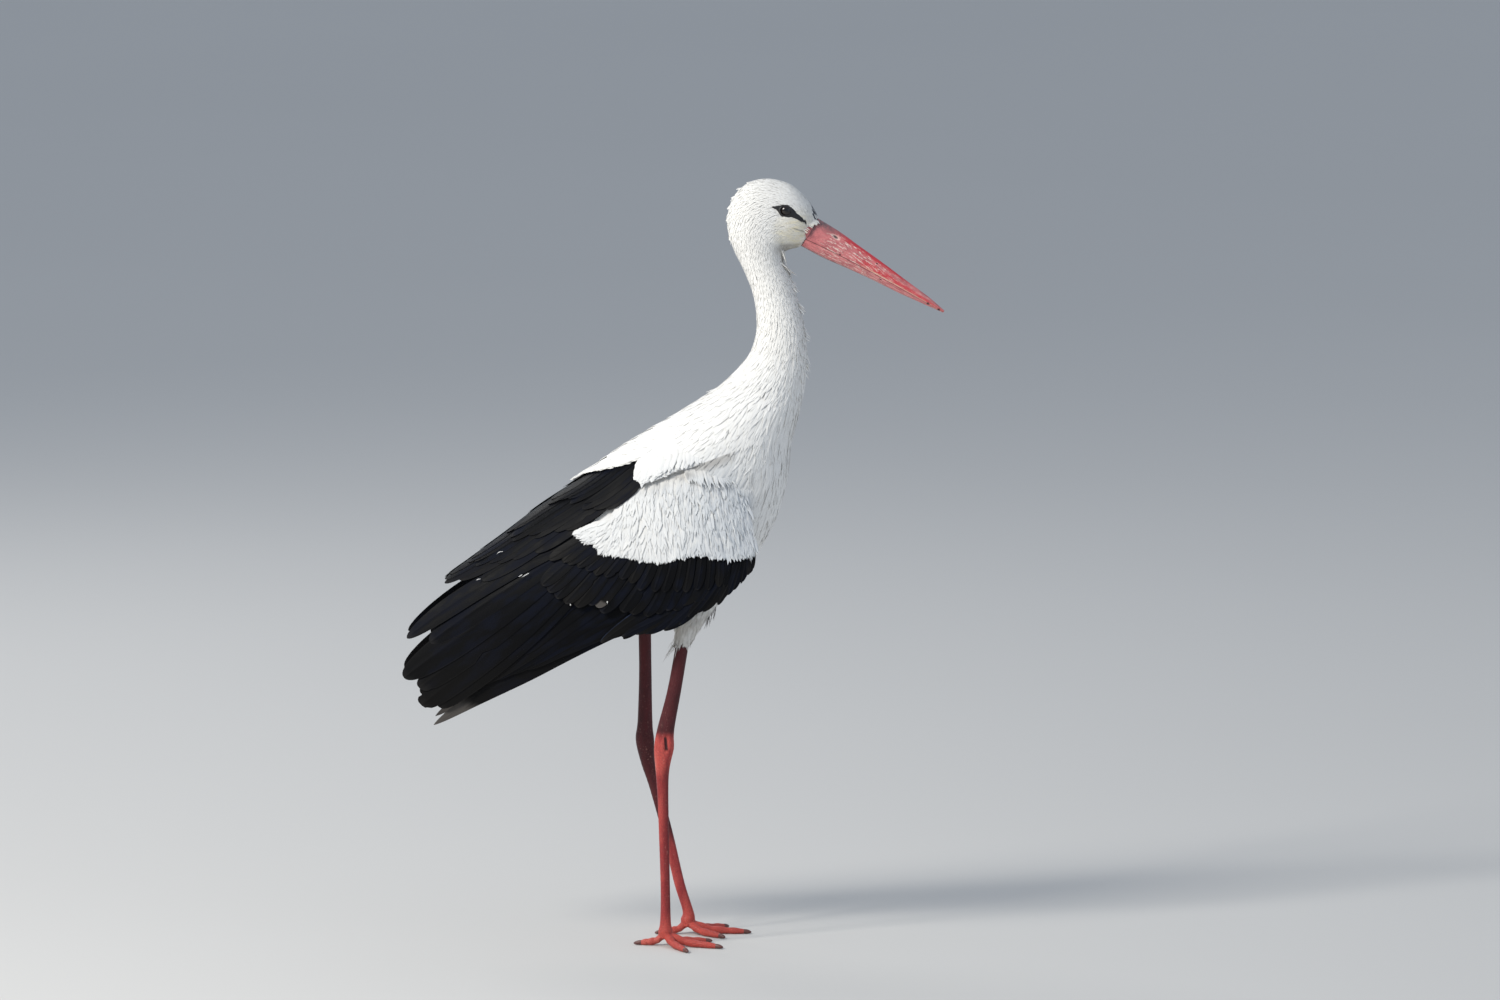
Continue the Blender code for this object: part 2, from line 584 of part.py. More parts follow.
def build_scapulars():
    """The long black scapulars that run down over the back, in two tiers."""
    long_roots = between([(0.116, 33), (0.128, 22), (0.138, 10)], 5)
    long_tips = between([(0.238, 35), (0.285, 28), (0.318, 21), (0.333, 14.5), (0.322, 7.5)], 5)
    short_roots = between([(0.098, 30), (0.110, 20), (0.128, 9)], 4)
    short_tips = between([(0.190, 33), (0.226, 25), (0.246, 16), (0.236, 8)], 4)
    vanes = row_of_vanes(long_roots, long_tips, (0.0100, 0.0120), ((0.0072, 0.0062), (0.0034, 0.0026)),
                         ease=0.6, tilt=0.0005)
    vanes += row_of_vanes(short_roots, short_tips, (0.0130, 0.0120), ((0.0060, 0.0050), (0.0010, 0.0004)),
                          ease=0.4, tilt=0.0004)
    scapulars = join("wing_right_scapulars", [scapulars_core("core"), *vanes])
    return cut(clear_of_torso(scapulars), shoulder_core("cutter", GAP), coverts_core("cutter", GAP))


def build_flight():
    """The black flight feathers of the folded wing, in tiers on one core, the deepest first."""
    primary_roots = between([(0.068, 86.5), (0.112, 81)], 4)
    primary_tips = between([(0.425, 88.0), (0.456, 92.0), (0.442, 82)], 4)
    vanes = row_of_vanes(primary_roots, primary_tips, (0.0130, 0.0150), ((0.0200, 0.0165), (0.0150, 0.0115)),
                         tilt=0.0004, bow=0.006)
    secondary_roots = between([(0.062, 84.5), (0.100, 78), (0.150, 66), (0.184, 52)], 7)
    secondary_tips = between([(0.215, 85.5), (0.300, 84.6), (0.372, 83.2), (0.414, 80), (0.436, 73)], 7)
    vanes += row_of_vanes(secondary_roots, secondary_tips, (0.0150, 0.0180),
                          ((0.0156, 0.0092), (0.0128, 0.0070)), tilt=0.0004)
    covert_roots = between([(0.056, 82), (0.093, 75), (0.128, 68), (0.157, 60), (0.179, 50)], 8)
    covert_line = [(0.100, 86.0), (0.140, 86.5), (0.176, 86.0), (0.214, 78), (0.238, 66), (0.250, 54)]
    covert_tips = between(covert_line, 8)
    vanes += row_of_vanes(covert_roots, covert_tips, (0.0115, 0.0140), ((0.0062, 0.0062), (0.0040, 0.0034)),
                          ease=0.5, tilt=0.0010, profile=SHORT_VANE)
    tertials = (  # root, tip, half width, depths, bow: the lowest first
        ((0.176, 55), (0.449, 77.5), 0.0200, (0.0088, 0.0062), -0.004),
        ((0.180, 49), (0.447, 61), 0.0210, (0.0078, 0.0051), 0.000),
        ((0.186, 46.5), (0.414, 40), 0.0155, (0.0068, 0.0040), 0.010))
    for root, tip, half, depth, bow in tertials:
        vanes.append(wing_vane(root, tip, half, depth, bow=bow, tilt=0.0004, columns=3))
    flight = join("wing_right_flight", [flight_core("core"), *vanes])
    return cut(clear_of_torso(flight), coverts_core("cutter", GAP), scapulars_core("cutter", GAP))


def build_wings(white, black):
    for build, look in ((build_shoulder, white), (build_coverts, white), (build_scapulars, black),
                        (build_flight, black)):
        right = finish(build(), look, 30)
        finish(mirrored_copy(right, right.name.replace("right", "left")), look, 30)


# Tail

def tail_surface(along, y, depth):
    """The tail's own flat sheet under the wings."""
    rise = TAIL_RISE - depth
    xz = WING_ORIGIN + along[..., None] * ALONG + rise[..., None] * RISE
    return np.stack([xz[..., 0], y, xz[..., 1]], axis=-1)


def flat_scale(along):
    return 1.0, 1.0


def build_tail(white):
    """Twelve tail feathers in a closed fan, the middle pair on top."""
    root = TAIL_ROOT + GAP
    along, y = np.meshgrid((root, root + TAIL_CORE[0]), (-TAIL_CORE[1], TAIL_CORE[1]), indexing="ij")
    depth = np.ones_like(along)
    top, bottom = (tail_surface(along, y, level * depth) for level in TAIL_CORE[2:])
    pieces = [plate("core", top, bottom)]
    for rank in range(6):
        start = (TAIL_ROOT + 0.008, 0.0014 + 0.0026 * rank)
        end = (TAIL_TIP - 0.0016 * rank ** 1.5, 0.0032 + 0.0046 * rank)
        level = -0.0030 + 0.00105 * rank
        left = vane(tail_surface, flat_scale, start, end, 0.0105, (level, level), tilt=-0.0002,
                    inner_limit=(start[1] - 0.0005, end[1] - 0.0005))
        pieces += [left, mirrored_copy(left, "vane")]
    return finish(join("tail", pieces), white)


# Legs and feet

def leg_point(stations, t, angle, grow=0.0):
    """Points round a leg, level with its stations, grown outwards."""
    t, angle, grow = np.broadcast_arrays(*(np.asarray(v, float) for v in (t, angle, grow)))
    row = curve_through(stations, t)
    return np.stack([row[..., 0] + (row[..., 3] + grow) * np.cos(angle),
                     row[..., 1] + (row[..., 4] + grow) * np.sin(angle), row[..., 2]], axis=-1)


def leg_rings(stations, top_gap=0.0, bottom_gap=0.0, step=0.022):
    """Level rings down a leg, drawn in by the gaps at the two ends."""
    stations = np.asarray(stations, float)
    run = np.concatenate([[0], np.cumsum(np.linalg.norm(np.diff(stations[:, :3], axis=0), axis=1))])
    count = max(len(stations), round(run[-1] / step) + 1)
    at = np.interp(np.linspace(0, run[-1], count), run, np.arange(len(stations)))
    rows = curve_through(stations, at)
    rows[0, 2] -= top_gap
    rows[-1, 2] += bottom_gap
    angle = np.arange(AROUND_LEG) / AROUND_LEG * 2 * math.pi
    ring = np.stack([np.cos(angle), np.sin(angle), 0 * angle], axis=-1)
    return [row[:3] + ring * (row[3], row[4], 0) for row in rows]


def toe_rings(joint, heading, length):
    """Rings along a toe, from inside the knuckle down to the floor, flat where they rest on it."""
    along = np.array([math.cos(heading), math.sin(heading), 0])
    across = np.array([-along[1], along[0], 0])
    share = np.array([0.0, 0.22, 0.42, 0.62, 0.82, 1.0])
    height = np.array([KNUCKLE_HEIGHT - 0.003, 0.0088, 0.0050, 0.0040, 0.0034, 0.0028])
    swell = np.array([1.15, 1.1, 1.0, 0.95, 0.85, 0.68])
    angle = np.arange(8) / 8 * 2 * math.pi + math.pi / 8
    rings = []
    for s, z, k in zip(share, height, swell):
        centre = np.array([joint[0], joint[1], 0]) + along * (s * length) + (0, 0, z)
        out = np.cos(angle)[:, None] * across + np.sin(angle)[:, None] * (0, 0, 1)
        ring = centre + TOE_RADIUS * k * out
        ring[:, 2] = np.maximum(ring[:, 2], 0)
        rings.append(ring)
    return rings


def claw(name, rings, heading):
    """A short flat nail that goes on from the end of a toe."""
    along = np.array([math.cos(heading), math.sin(heading), 0])
    start = rings[-1]
    centre = start.mean(axis=0)
    made = []
    for share, size, drop in ((0, 0.92, 0), (0.5, 0.72, 0.0002), (1.0, 0.22, 0.0012)):
        ring = centre + (start - centre) * size + along * (GAP + share * CLAW_LENGTH) - (0, 0, drop)
        ring[:, 2] = np.maximum(ring[:, 2], 0)
        made.append(ring)
    return loft(name, made)


def build_foot(label, toes, tarsus, red, horn):
    x, y, z = tarsus[-1][:3]
    joint = (x, y)
    knuckle = [(x, y, z - GAP, 0.0066, 0.0064), (x, y, 0.020, 0.0082, 0.0084), (x, y, 0.011, 0.0086, 0.0090),
               (x, y, 0.006, 0.0060, 0.0064)]
    pieces = [loft("foot", leg_rings(knuckle, step=0.01))]
    for name, degrees, length in toes:
        heading = math.radians(degrees)
        rings = toe_rings(joint, heading, length)
        pieces.append(loft("toe", rings))
        finish(claw(f"claw_{label}_{name}", rings, heading), horn)
    finish(join("foot_" + label, pieces), red)


def build_thigh(label, thigh):
    """The feathered thigh, with a fringe of loose feathers that hangs over the bare leg."""
    last = len(thigh) - 1
    hem = [(*np.array(thigh[-1][:3]) + (0, 0, -0.020), thigh[-1][3], thigh[-1][4])]

    def surface(row, degrees, depth):
        return leg_point(thigh + hem, row, np.radians(degrees), -depth)

    def scale(row):
        return 0.030, 0.012 * math.radians(1)

    fringe = []
    for turn in range(-20, 300, 60):
        end = last + 0.45 + 0.2 * math.sin(turn)
        fringe.append(vane(surface, scale, (last - 1.05, turn), (end, turn + 8), 0.0052, (0.0032, -0.0026),
                           profile=LOCK, ease=0.5, thick=0.0010))
    top = loft("thigh_" + label, leg_rings(thigh, 0, GAP / 2, 0.012))
    return clear_of_torso(join("thigh_" + label, [top, *fringe]))


def build_legs(white, red, horn):
    for label, thigh, shank, tarsus, toes in (
            ("right", RIGHT_THIGH, RIGHT_SHANK, RIGHT_TARSUS, RIGHT_TOES),
            ("left", LEFT_THIGH, LEFT_SHANK, LEFT_TARSUS, LEFT_TOES)):
        finish(build_thigh(label, thigh), white)
        finish(loft("shank_" + label, leg_rings(shank, GAP / 2, GAP / 2)), red)
        finish(loft("tarsus_" + label, leg_rings(tarsus, GAP / 2)), red)
        build_foot(label, toes, tarsus, red, horn)


def main():
    for old in list(bpy.data.objects):
        bpy.data.objects.remove(old)
    white = material("white_plumage", (0.86, 0.84, 0.79), 0.85)
    black = material("black_plumage", (0.012, 0.013, 0.016), 0.55)
    bill_red = material("bill_red", (0.52, 0.07, 0.06), 0.45)
    leg_red = material("leg_red", (0.42, 0.07, 0.06), 0.55)
    dark = material("eye_dark", (0.01, 0.009, 0.008), 0.08)
    horn = material("claw_horn", (0.10, 0.07, 0.06), 0.5)
    build_head(white, dark)
    finish(body_loft("neck", HEAD_END, NECK_END, NECK_STEP), white)
    build_torso(white)
    build_bill(bill_red)
    build_wings(white, black)
    build_tail(white)
    build_legs(white, leg_red, horn)


main()
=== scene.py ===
import math

import bpy
import numpy as np
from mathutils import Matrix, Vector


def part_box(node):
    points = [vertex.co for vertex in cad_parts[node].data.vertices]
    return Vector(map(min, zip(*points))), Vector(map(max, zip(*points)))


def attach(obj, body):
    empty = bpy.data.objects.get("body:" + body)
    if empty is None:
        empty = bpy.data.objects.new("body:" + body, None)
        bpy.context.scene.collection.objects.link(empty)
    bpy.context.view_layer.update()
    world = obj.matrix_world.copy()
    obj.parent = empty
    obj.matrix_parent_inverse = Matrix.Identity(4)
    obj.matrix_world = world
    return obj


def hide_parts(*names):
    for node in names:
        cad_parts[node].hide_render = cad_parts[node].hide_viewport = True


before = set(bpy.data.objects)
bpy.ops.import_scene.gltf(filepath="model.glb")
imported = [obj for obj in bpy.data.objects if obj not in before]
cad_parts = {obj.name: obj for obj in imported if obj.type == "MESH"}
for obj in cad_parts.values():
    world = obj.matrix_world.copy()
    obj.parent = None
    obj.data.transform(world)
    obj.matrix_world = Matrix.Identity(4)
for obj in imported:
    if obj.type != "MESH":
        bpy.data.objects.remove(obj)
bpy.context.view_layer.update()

# A white stork standing on both feet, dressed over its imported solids. Metres, +Z up, facing +X.
# Body, wings and legs are surfaces of two numbers (u, v) and a depth under them. Skins are grids on these
# surfaces, and every feather is a closed tube of rings whose points are looked up on them too.

print("frame:", len(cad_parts), "solids")

view = {"distance": 15.0, "elevation": 7.0, "lens": 300.0, "sensor": 36.0, "target": (0.093, 0.0, 0.5332)}
studio = {"floorColour": (0.60, 0.59, 0.57), "world": (0.75, 0.85, 1.0), "worldStrength": 0.56,
          "key": 165, "catch": 48.0, "fill": 8.0, "rim": 45.0}


def curveThrough(table, t):
    # Catmull-Rom curve through the rows of a table: t is 0 at the first row, 1 at the second
    table = np.asarray(table, float)
    t = np.clip(np.asarray(t, float), 0, len(table) - 1)
    i = np.minimum(t.astype(int), len(table) - 2)
    f = (t - i)[..., None]
    rows = np.vstack([2 * table[0] - table[1], table, 2 * table[-1] - table[-2]])
    a, b, c, d = (rows[i + k] for k in range(4))
    return b + 0.5 * f * (c - a + f * (2 * a - 5 * b + 4 * c - d + f * (3 * (b - c) + d - a)))


def unit(vector):
    # A vector over its own length
    return vector / np.maximum(np.linalg.norm(vector, axis=-1, keepdims=True), 1e-12)


def alike(*values):
    # Numbers and arrays as float arrays of one shape
    return np.broadcast_arrays(*(np.asarray(value, float) for value in values))


def packed(*parts):
    # Numbers and arrays side by side in a new last axis
    return np.stack(np.broadcast_arrays(*parts), axis=-1)


def spread(u, v):
    # Grid of two even ranges, each a start, an end and a count
    return np.meshgrid(np.linspace(*u), np.linspace(*v), indexing="ij")


def along(table, share):
    # Value of a table of (share, value) rows at a share
    table = np.asarray(table, float)
    return np.interp(share, table[:, 0], table[:, 1])


def rowAt(table, share):
    # Smooth row of a table at a value of its first column
    table = np.asarray(table)
    return curveThrough(table, np.interp(share, table[:, 0], np.arange(len(table))))


def evenly(line, count):
    # Points of a line's curve at even steps of its rows
    return curveThrough(line, np.linspace(0, 1, count) * (len(line) - 1))


# The same named sizes as the solids have
body = {
    "rows": [  # back x, back z, throat x, throat z, half width
        [0.1750, 0.8744, 0.1535, 0.8384, 0.0150], [0.1620, 0.8960, 0.1465, 0.8370, 0.0225],
        [0.1420, 0.9135, 0.1390, 0.8350, 0.0270], [0.1150, 0.9205, 0.1345, 0.8320, 0.0290],
        [0.0910, 0.9155, 0.1330, 0.8265, 0.0300], [0.0730, 0.8980, 0.1335, 0.8210, 0.0300],
        [0.0655, 0.8690, 0.1360, 0.8150, 0.0290], [0.0715, 0.8400, 0.1400, 0.8075, 0.0275],
        [0.0860, 0.8090, 0.1450, 0.7940, 0.0262], [0.0965, 0.7810, 0.1510, 0.7740, 0.0256],
        [0.1005, 0.7555, 0.1570, 0.7520, 0.0258], [0.0995, 0.7310, 0.1605, 0.7285, 0.0270],
        [0.0890, 0.7050, 0.1615, 0.7000, 0.0300], [0.0590, 0.6735, 0.1580, 0.6660, 0.0375],
        [0.0330, 0.6560, 0.1525, 0.6400, 0.0480], [0.0090, 0.6410, 0.1420, 0.6000, 0.0590],
        [-0.0150, 0.6250, 0.1370, 0.5550, 0.0670], [-0.0510, 0.6010, 0.1200, 0.5020, 0.0710],
        [-0.0850, 0.5740, 0.0860, 0.4480, 0.0720], [-0.1180, 0.5390, 0.0390, 0.4150, 0.0680],
        [-0.1510, 0.5050, -0.0210, 0.3990, 0.0560], [-0.1770, 0.4690, -0.0740, 0.3890, 0.0430],
        [-0.1880, 0.4390, -0.1240, 0.3780, 0.0330], [-0.1990, 0.4100, -0.1650, 0.3720, 0.0220]],
    "skinDepth": [(0, 0.0010), (2, 0.0013), (4, 0.0017), (7, 0.0022), (10, 0.0026), (13, 0.0034),
                  (16, 0.0044), (21, 0.0042), (22.6, 0.0030), (23, 0.0020)],
}


def bodySurface(row, degrees, depth):
    # Ring of the body at a row of the table: its middle, plus half its height times the sine along the ring's
    # own up, plus half its width times the cosine to the side, both drawn in by the depth
    row, degrees, depth = alike(row, degrees, depth)
    line = curveThrough(body["rows"], row)
    back, throat, width = line[..., 0:2], line[..., 2:4], line[..., 4]
    middle, up = (back + throat) / 2, back - throat
    height = np.linalg.norm(up, axis=-1) / 2
    turn = np.radians(degrees)
    xz = middle + ((height - depth) * np.sin(turn))[..., None] * unit(up)
    return packed(xz[..., 0], (width - depth) * np.cos(turn), xz[..., 1])


wing = {
    "origin": (0.081, 0.533), "slope": math.radians(38), "midline": 0.0030,
    "cloak": [  # along, rise of the back edge, rise of the lower edge, half width at the lower edge
        [-0.080, 0.116, -0.005, 0.016], [-0.030, 0.124, -0.036, 0.054], [0.020, 0.131, -0.060, 0.089],
        [0.070, 0.137, -0.0695, 0.101], [0.120, 0.140, -0.0645, 0.100], [0.190, 0.146, -0.044, 0.092],
        [0.260, 0.147, -0.023, 0.080], [0.330, 0.150, -0.006, 0.066], [0.400, 0.152, 0.010, 0.053],
        [0.470, 0.154, 0.022, 0.044]],
    "fold": [(-0.045, 60), (-0.025, 56.6), (0.020, 47.5), (0.080, 35)],
    "scapularEdge": [(0.080, 35), (0.120, 36.5), (0.176, 40.5)],
    "covertEdge": [(0.012, 86), (0.030, 84), (0.049, 79.6), (0.077, 72.8), (0.106, 67.4), (0.133, 61.4),
                   (0.156, 53.4), (0.170, 47), (0.176, 41)],
    # where the white mantle ends over the black, and a second, lower fold on the wing's front half
    "mantleEdge": [(0.1455, 0.5), (0.128, 4.0), (0.109, 12.8), (0.088, 19.6), (0.066, 23.4), (0.0545, 23.9),
                   (0.059, 25.6), (0.074, 30.3), (0.0785, 33.9), (0.077, 37.3)],
    "lobe": [(0.0772, 37.5), (0.0613, 39.6), (0.0393, 41.3), (0.0121, 46.6), (-0.0068, 49.3),
             (-0.0301, 55.2)],
    "lowerFold": [(0.0300, 49.5), (0.0126, 58.1), (-0.012, 65.3), (-0.034, 70)],
    # where the white of the coverts ends: its back edge, then its lower one from the rear to the front
    "whiteEdge": [(0.075, 34.0), (0.104, 38.0), (0.122, 41.6), (0.148, 41.2), (0.1775, 40.4),
                  (0.1726, 48.0), (0.1640, 49.8), (0.1675, 55.6), (0.1466, 60.7), (0.1246, 66.9),
                  (0.1127, 69.6), (0.0961, 71.0), (0.0746, 73.6), (0.0622, 77.8), (0.0459, 82.5),
                  (0.0240, 87.7), (0.006, 91.0)],
}
wingAlong = np.array([-math.cos(wing["slope"]), -math.sin(wing["slope"])])
wingRise = np.array([-math.sin(wing["slope"]), math.cos(wing["slope"])])
covertTop = [(place, turn - 8) for place, turn in wing["fold"]] + wing["scapularEdge"][1:]
# Small steps that measure each surface, along u and along v
bodySteps, wingSteps, slopeSteps = (0.02, 0.5), (0.001, 0.25), (0.02, 0.02)


def wingPoint(place, rise, y):
    # Point of the wing's own slanting plane, moved to the side
    place, rise, y = alike(place, rise, y)
    xz = np.array(wing["origin"]) + place[..., None] * wingAlong + rise[..., None] * wingRise
    return packed(xz[..., 0], y, xz[..., 1])


def cloak(place, degrees):
    # Cloak round the body: the rise falls with the cosine of the angle from the back edge to the lower edge,
    # and the side reach grows with the sine
    place, turn = np.broadcast_arrays(np.asarray(place, float), np.radians(np.maximum(degrees, 0.3)))
    row = rowAt(wing["cloak"], place)
    rise = row[..., 2] + (row[..., 1] - row[..., 2]) * np.cos(turn)
    return wingPoint(place, rise, -(wing["midline"] + row[..., 3] * np.abs(np.sin(turn)) ** 0.9))


def wingSurface(place, degrees, depth):
    # Points at a depth under the cloak, along its own normal
    run = cloak(place + 0.001, degrees) - cloak(place - 0.001, degrees)
    turn = cloak(place, degrees + 0.25) - cloak(place, degrees - 0.25)
    return cloak(place, degrees) + np.asarray(depth)[..., None] * unit(np.cross(turn, run))


def leftOf(surface):
    # The same surface on the bird's left: y changes sign
    def mirrored(u, v, depth):
        return surface(u, v, depth) * (1, -1, 1)
    return mirrored


def tailSurface(place, y, depth):
    # Flat sheet under the wings, at a fixed rise less the depth
    return wingPoint(place, 0.0530 - depth, y)


legs = {
    "right": {
        "thigh": [(0.046, -0.038, 0.470, 0.040, 0.023), (0.032, -0.044, 0.425, 0.031, 0.021),
                  (0.021, -0.048, 0.392, 0.018, 0.015), (0.0125, -0.048, 0.366, 0.0105, 0.0095)],
        "leg": [(0.0135, -0.048, 0.374, 0.0078, 0.0068), (0.0122, -0.048, 0.366, 0.0078, 0.0068),
                (0.0022, -0.048, 0.309, 0.0084, 0.0072), (-0.0080, -0.047, 0.262, 0.0104, 0.0086),
                (-0.0099, -0.047, 0.2395, 0.0121, 0.0102), (-0.0120, -0.047, 0.213, 0.0084, 0.0078),
                (-0.0115, -0.047, 0.184, 0.0067, 0.0061), (-0.0100, -0.047, 0.125, 0.0060, 0.0054),
                (-0.0086, -0.047, 0.065, 0.0057, 0.0053), (-0.0085, -0.047, 0.028, 0.0066, 0.0064),
                (-0.0085, -0.047, 0.018, 0.0086, 0.0088), (-0.0085, -0.047, 0.009, 0.0080, 0.0084)],
        "toes": [("inner", 22, 0.052), ("middle", -22, 0.066), ("outer", -66, 0.058), ("hind", 172, 0.030)],
    },
    "left": {
        "thigh": [(0.006, 0.038, 0.455, 0.036, 0.023), (-0.016, 0.043, 0.410, 0.026, 0.020),
                  (-0.028, 0.046, 0.390, 0.015, 0.014), (-0.0330, 0.046, 0.3755, 0.0102, 0.0096)],
        "leg": [(-0.0336, 0.046, 0.384, 0.0072, 0.0064), (-0.0338, 0.046, 0.370, 0.0076, 0.0068),
                (-0.0332, 0.046, 0.318, 0.0076, 0.0069), (-0.0336, 0.046, 0.260, 0.0090, 0.0080),
                (-0.0336, 0.046, 0.236, 0.0113, 0.0098), (-0.0300, 0.046, 0.208, 0.0085, 0.0078),
                (-0.0207, 0.046, 0.176, 0.0071, 0.0063), (-0.0050, 0.046, 0.116, 0.0065, 0.0057),
                (0.0076, 0.045, 0.062, 0.0064, 0.0057), (0.0180, 0.045, 0.028, 0.0066, 0.0064),
                (0.0180, 0.045, 0.018, 0.0086, 0.0088), (0.0180, 0.045, 0.009, 0.0080, 0.0084)],
        "toes": [("inner", -44, 0.054), ("middle", -2, 0.068), ("outer", 42, 0.058), ("hind", 190, 0.032)],
    },
}


def limbSurface(stations):
    # Level ellipse at each station, drawn in by the depth
    def surface(row, degrees, depth):
        row, degrees, depth = alike(row, degrees, depth)
        line, turn = curveThrough(stations, row), np.radians(degrees)
        return packed(line[..., 0] + (line[..., 3] - depth) * np.cos(turn),
                      line[..., 1] + (line[..., 4] - depth) * np.sin(turn), line[..., 2])
    return surface


def tubeFaces(count, rows, around):
    # Quads between the rings of every tube, and one face at each end
    index = np.arange(count * rows * around).reshape(count, rows, around)
    right = np.roll(index, -1, axis=2)
    sides = packed(index[:, :-1], right[:, :-1], right[:, 1:], index[:, 1:]).reshape(-1, 4)
    return [sides, index[:, 0, ::-1].reshape(-1, around), index[:, -1].reshape(-1, around)]


def volumeOf(points, polygons):
    # Signed volume: sum over the faces of the triple products of a fan of their corners
    total = 0.0
    for faces in polygons:
        for k in range(1, faces.shape[1] - 1):
            a, b, c = points[faces[:, 0]], points[faces[:, k]], points[faces[:, k + 1]]
            total += np.einsum("ij,ij->", a, np.cross(b, c))
    return total


def addPiece(name, points, polygons, look, replaced=(), attributes=None, bakeMap=None, sharp=50):
    # One mesh piece from arrays, turned so that its faces point outwards, riding on the still body
    points = np.asarray(points, float).reshape(-1, 3)
    if volumeOf(points, polygons) < 0:
        polygons = [faces[:, ::-1] for faces in polygons]
        if bakeMap is not None:
            bakeMap = [corners[:, ::-1] for corners in bakeMap]
    mesh = bpy.data.meshes.new(name)
    corners = np.concatenate([faces.ravel() for faces in polygons]).astype(np.int32)
    sizes = np.concatenate([np.full(len(faces), faces.shape[1]) for faces in polygons])
    mesh.vertices.add(len(points))
    mesh.vertices.foreach_set("co", points.astype(np.float32).ravel())
    mesh.loops.add(len(corners))
    mesh.loops.foreach_set("vertex_index", corners)
    mesh.polygons.add(len(sizes))
    mesh.polygons.foreach_set("loop_start", np.concatenate([[0], np.cumsum(sizes)[:-1]]).astype(np.int32))
    mesh.update(calc_edges=True)
    mesh.polygons.foreach_set("use_smooth", np.ones(len(sizes), bool))
    if sharp:
        mesh.set_sharp_from_angle(angle=math.radians(sharp))
    for title, values in (attributes or {}).items():
        layer = mesh.attributes.new(title, "FLOAT_VECTOR", "POINT")
        layer.data.foreach_set("vector", np.asarray(values, np.float32).ravel())
    if bakeMap is not None:
        uv = mesh.uv_layers.new(name="OFBake")
        flat = np.concatenate([corners.reshape(-1, 2) for corners in bakeMap])
        uv.uv.foreach_set("vector", flat.astype(np.float32).ravel())
    mesh.materials.append(look)
    piece = bpy.data.objects.new(name, mesh)
    bpy.context.scene.collection.objects.link(piece)
    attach(piece, "root")
    if replaced:
        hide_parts(*replaced)
    return piece


def plate(outer, inner):
    # A closed plate between two grids of points: both faces and the wall round them
    rows, columns, _ = outer.shape
    index = np.arange(rows * columns).reshape(rows, columns)
    face = packed(index[:-1, :-1], index[:-1, 1:], index[1:, 1:], index[1:, :-1]).reshape(-1, 4)
    rim = np.concatenate([index[0], index[1:, -1], index[-1, -2::-1], index[-2:0:-1, 0]])
    after, below = np.roll(rim, -1), rows * columns
    wall = packed(after, rim, rim + below, after + below)
    return np.concatenate([outer.reshape(-1, 3), inner.reshape(-1, 3)]), [face, face[:, ::-1] + below, wall]


def merged(parts):
    # Several (points, polygons) as one
    points, polygons, start = [], [], 0
    for these, faces in parts:
        points.append(these)
        polygons += [f + start for f in faces]
        start += len(these)
    return np.concatenate(points), polygons


# Outlines: share of the length, and share of the half width reached there
outlines = {
    "round": [(0.0, 0.42), (0.35, 0.88), (0.68, 1.0), (0.90, 0.70), (1.0, 0.10)],
    "lance": [(0.0, 0.60), (0.30, 1.0), (0.62, 0.78), (0.86, 0.38), (1.0, 0.03)],
    "oval": [(0.0, 0.50), (0.35, 1.0), (0.64, 0.90), (0.86, 0.52), (1.0, 0.04)],
    "wisp": [(0.0, 0.80), (0.40, 1.0), (0.75, 0.60), (1.0, 0.05)],
}
# Cross-sections: reach to the side and height over the base, round the ring
sections = {
    "fine": ([-1, 0, 1], [0.0, 1.0, 0.0]),
    "broad": ([-1, -0.5, 0, 0.5, 1, 0], [0.0, 0.75, 1.0, 0.75, 0.0, -0.35]),
    "quill": ([-1, -0.72, -0.40, -0.075, 0, 0.075, 0.40, 0.72, 1, 0.5, 0, -0.5],
              [0.0, 0.50, 0.72, 0.80, 1.55, 0.80, 0.72, 0.50, 0.0, -0.20, -0.30, -0.20]),
}


def surfaceScale(surface, place, steps):
    # Metres in one unit of u and of v: what a small step to both sides moves, over twice the step
    u, v = place[..., 0], place[..., 1]
    moves = (surface(u + steps[0], v, 0 * u) - surface(u - steps[0], v, 0 * u),
             surface(u, v + steps[1], 0 * u) - surface(u, v - steps[1], 0 * u))
    return packed(*(np.linalg.norm(move, axis=-1) / (2 * step) for move, step in zip(moves, steps)))


def tipsFrom(root, heading, length, scale):
    # Root plus the length along (cos, sin) of the heading, in metres over the surface's scale
    return root + packed(np.cos(heading), np.sin(heading)) * np.asarray(length)[..., None] / scale


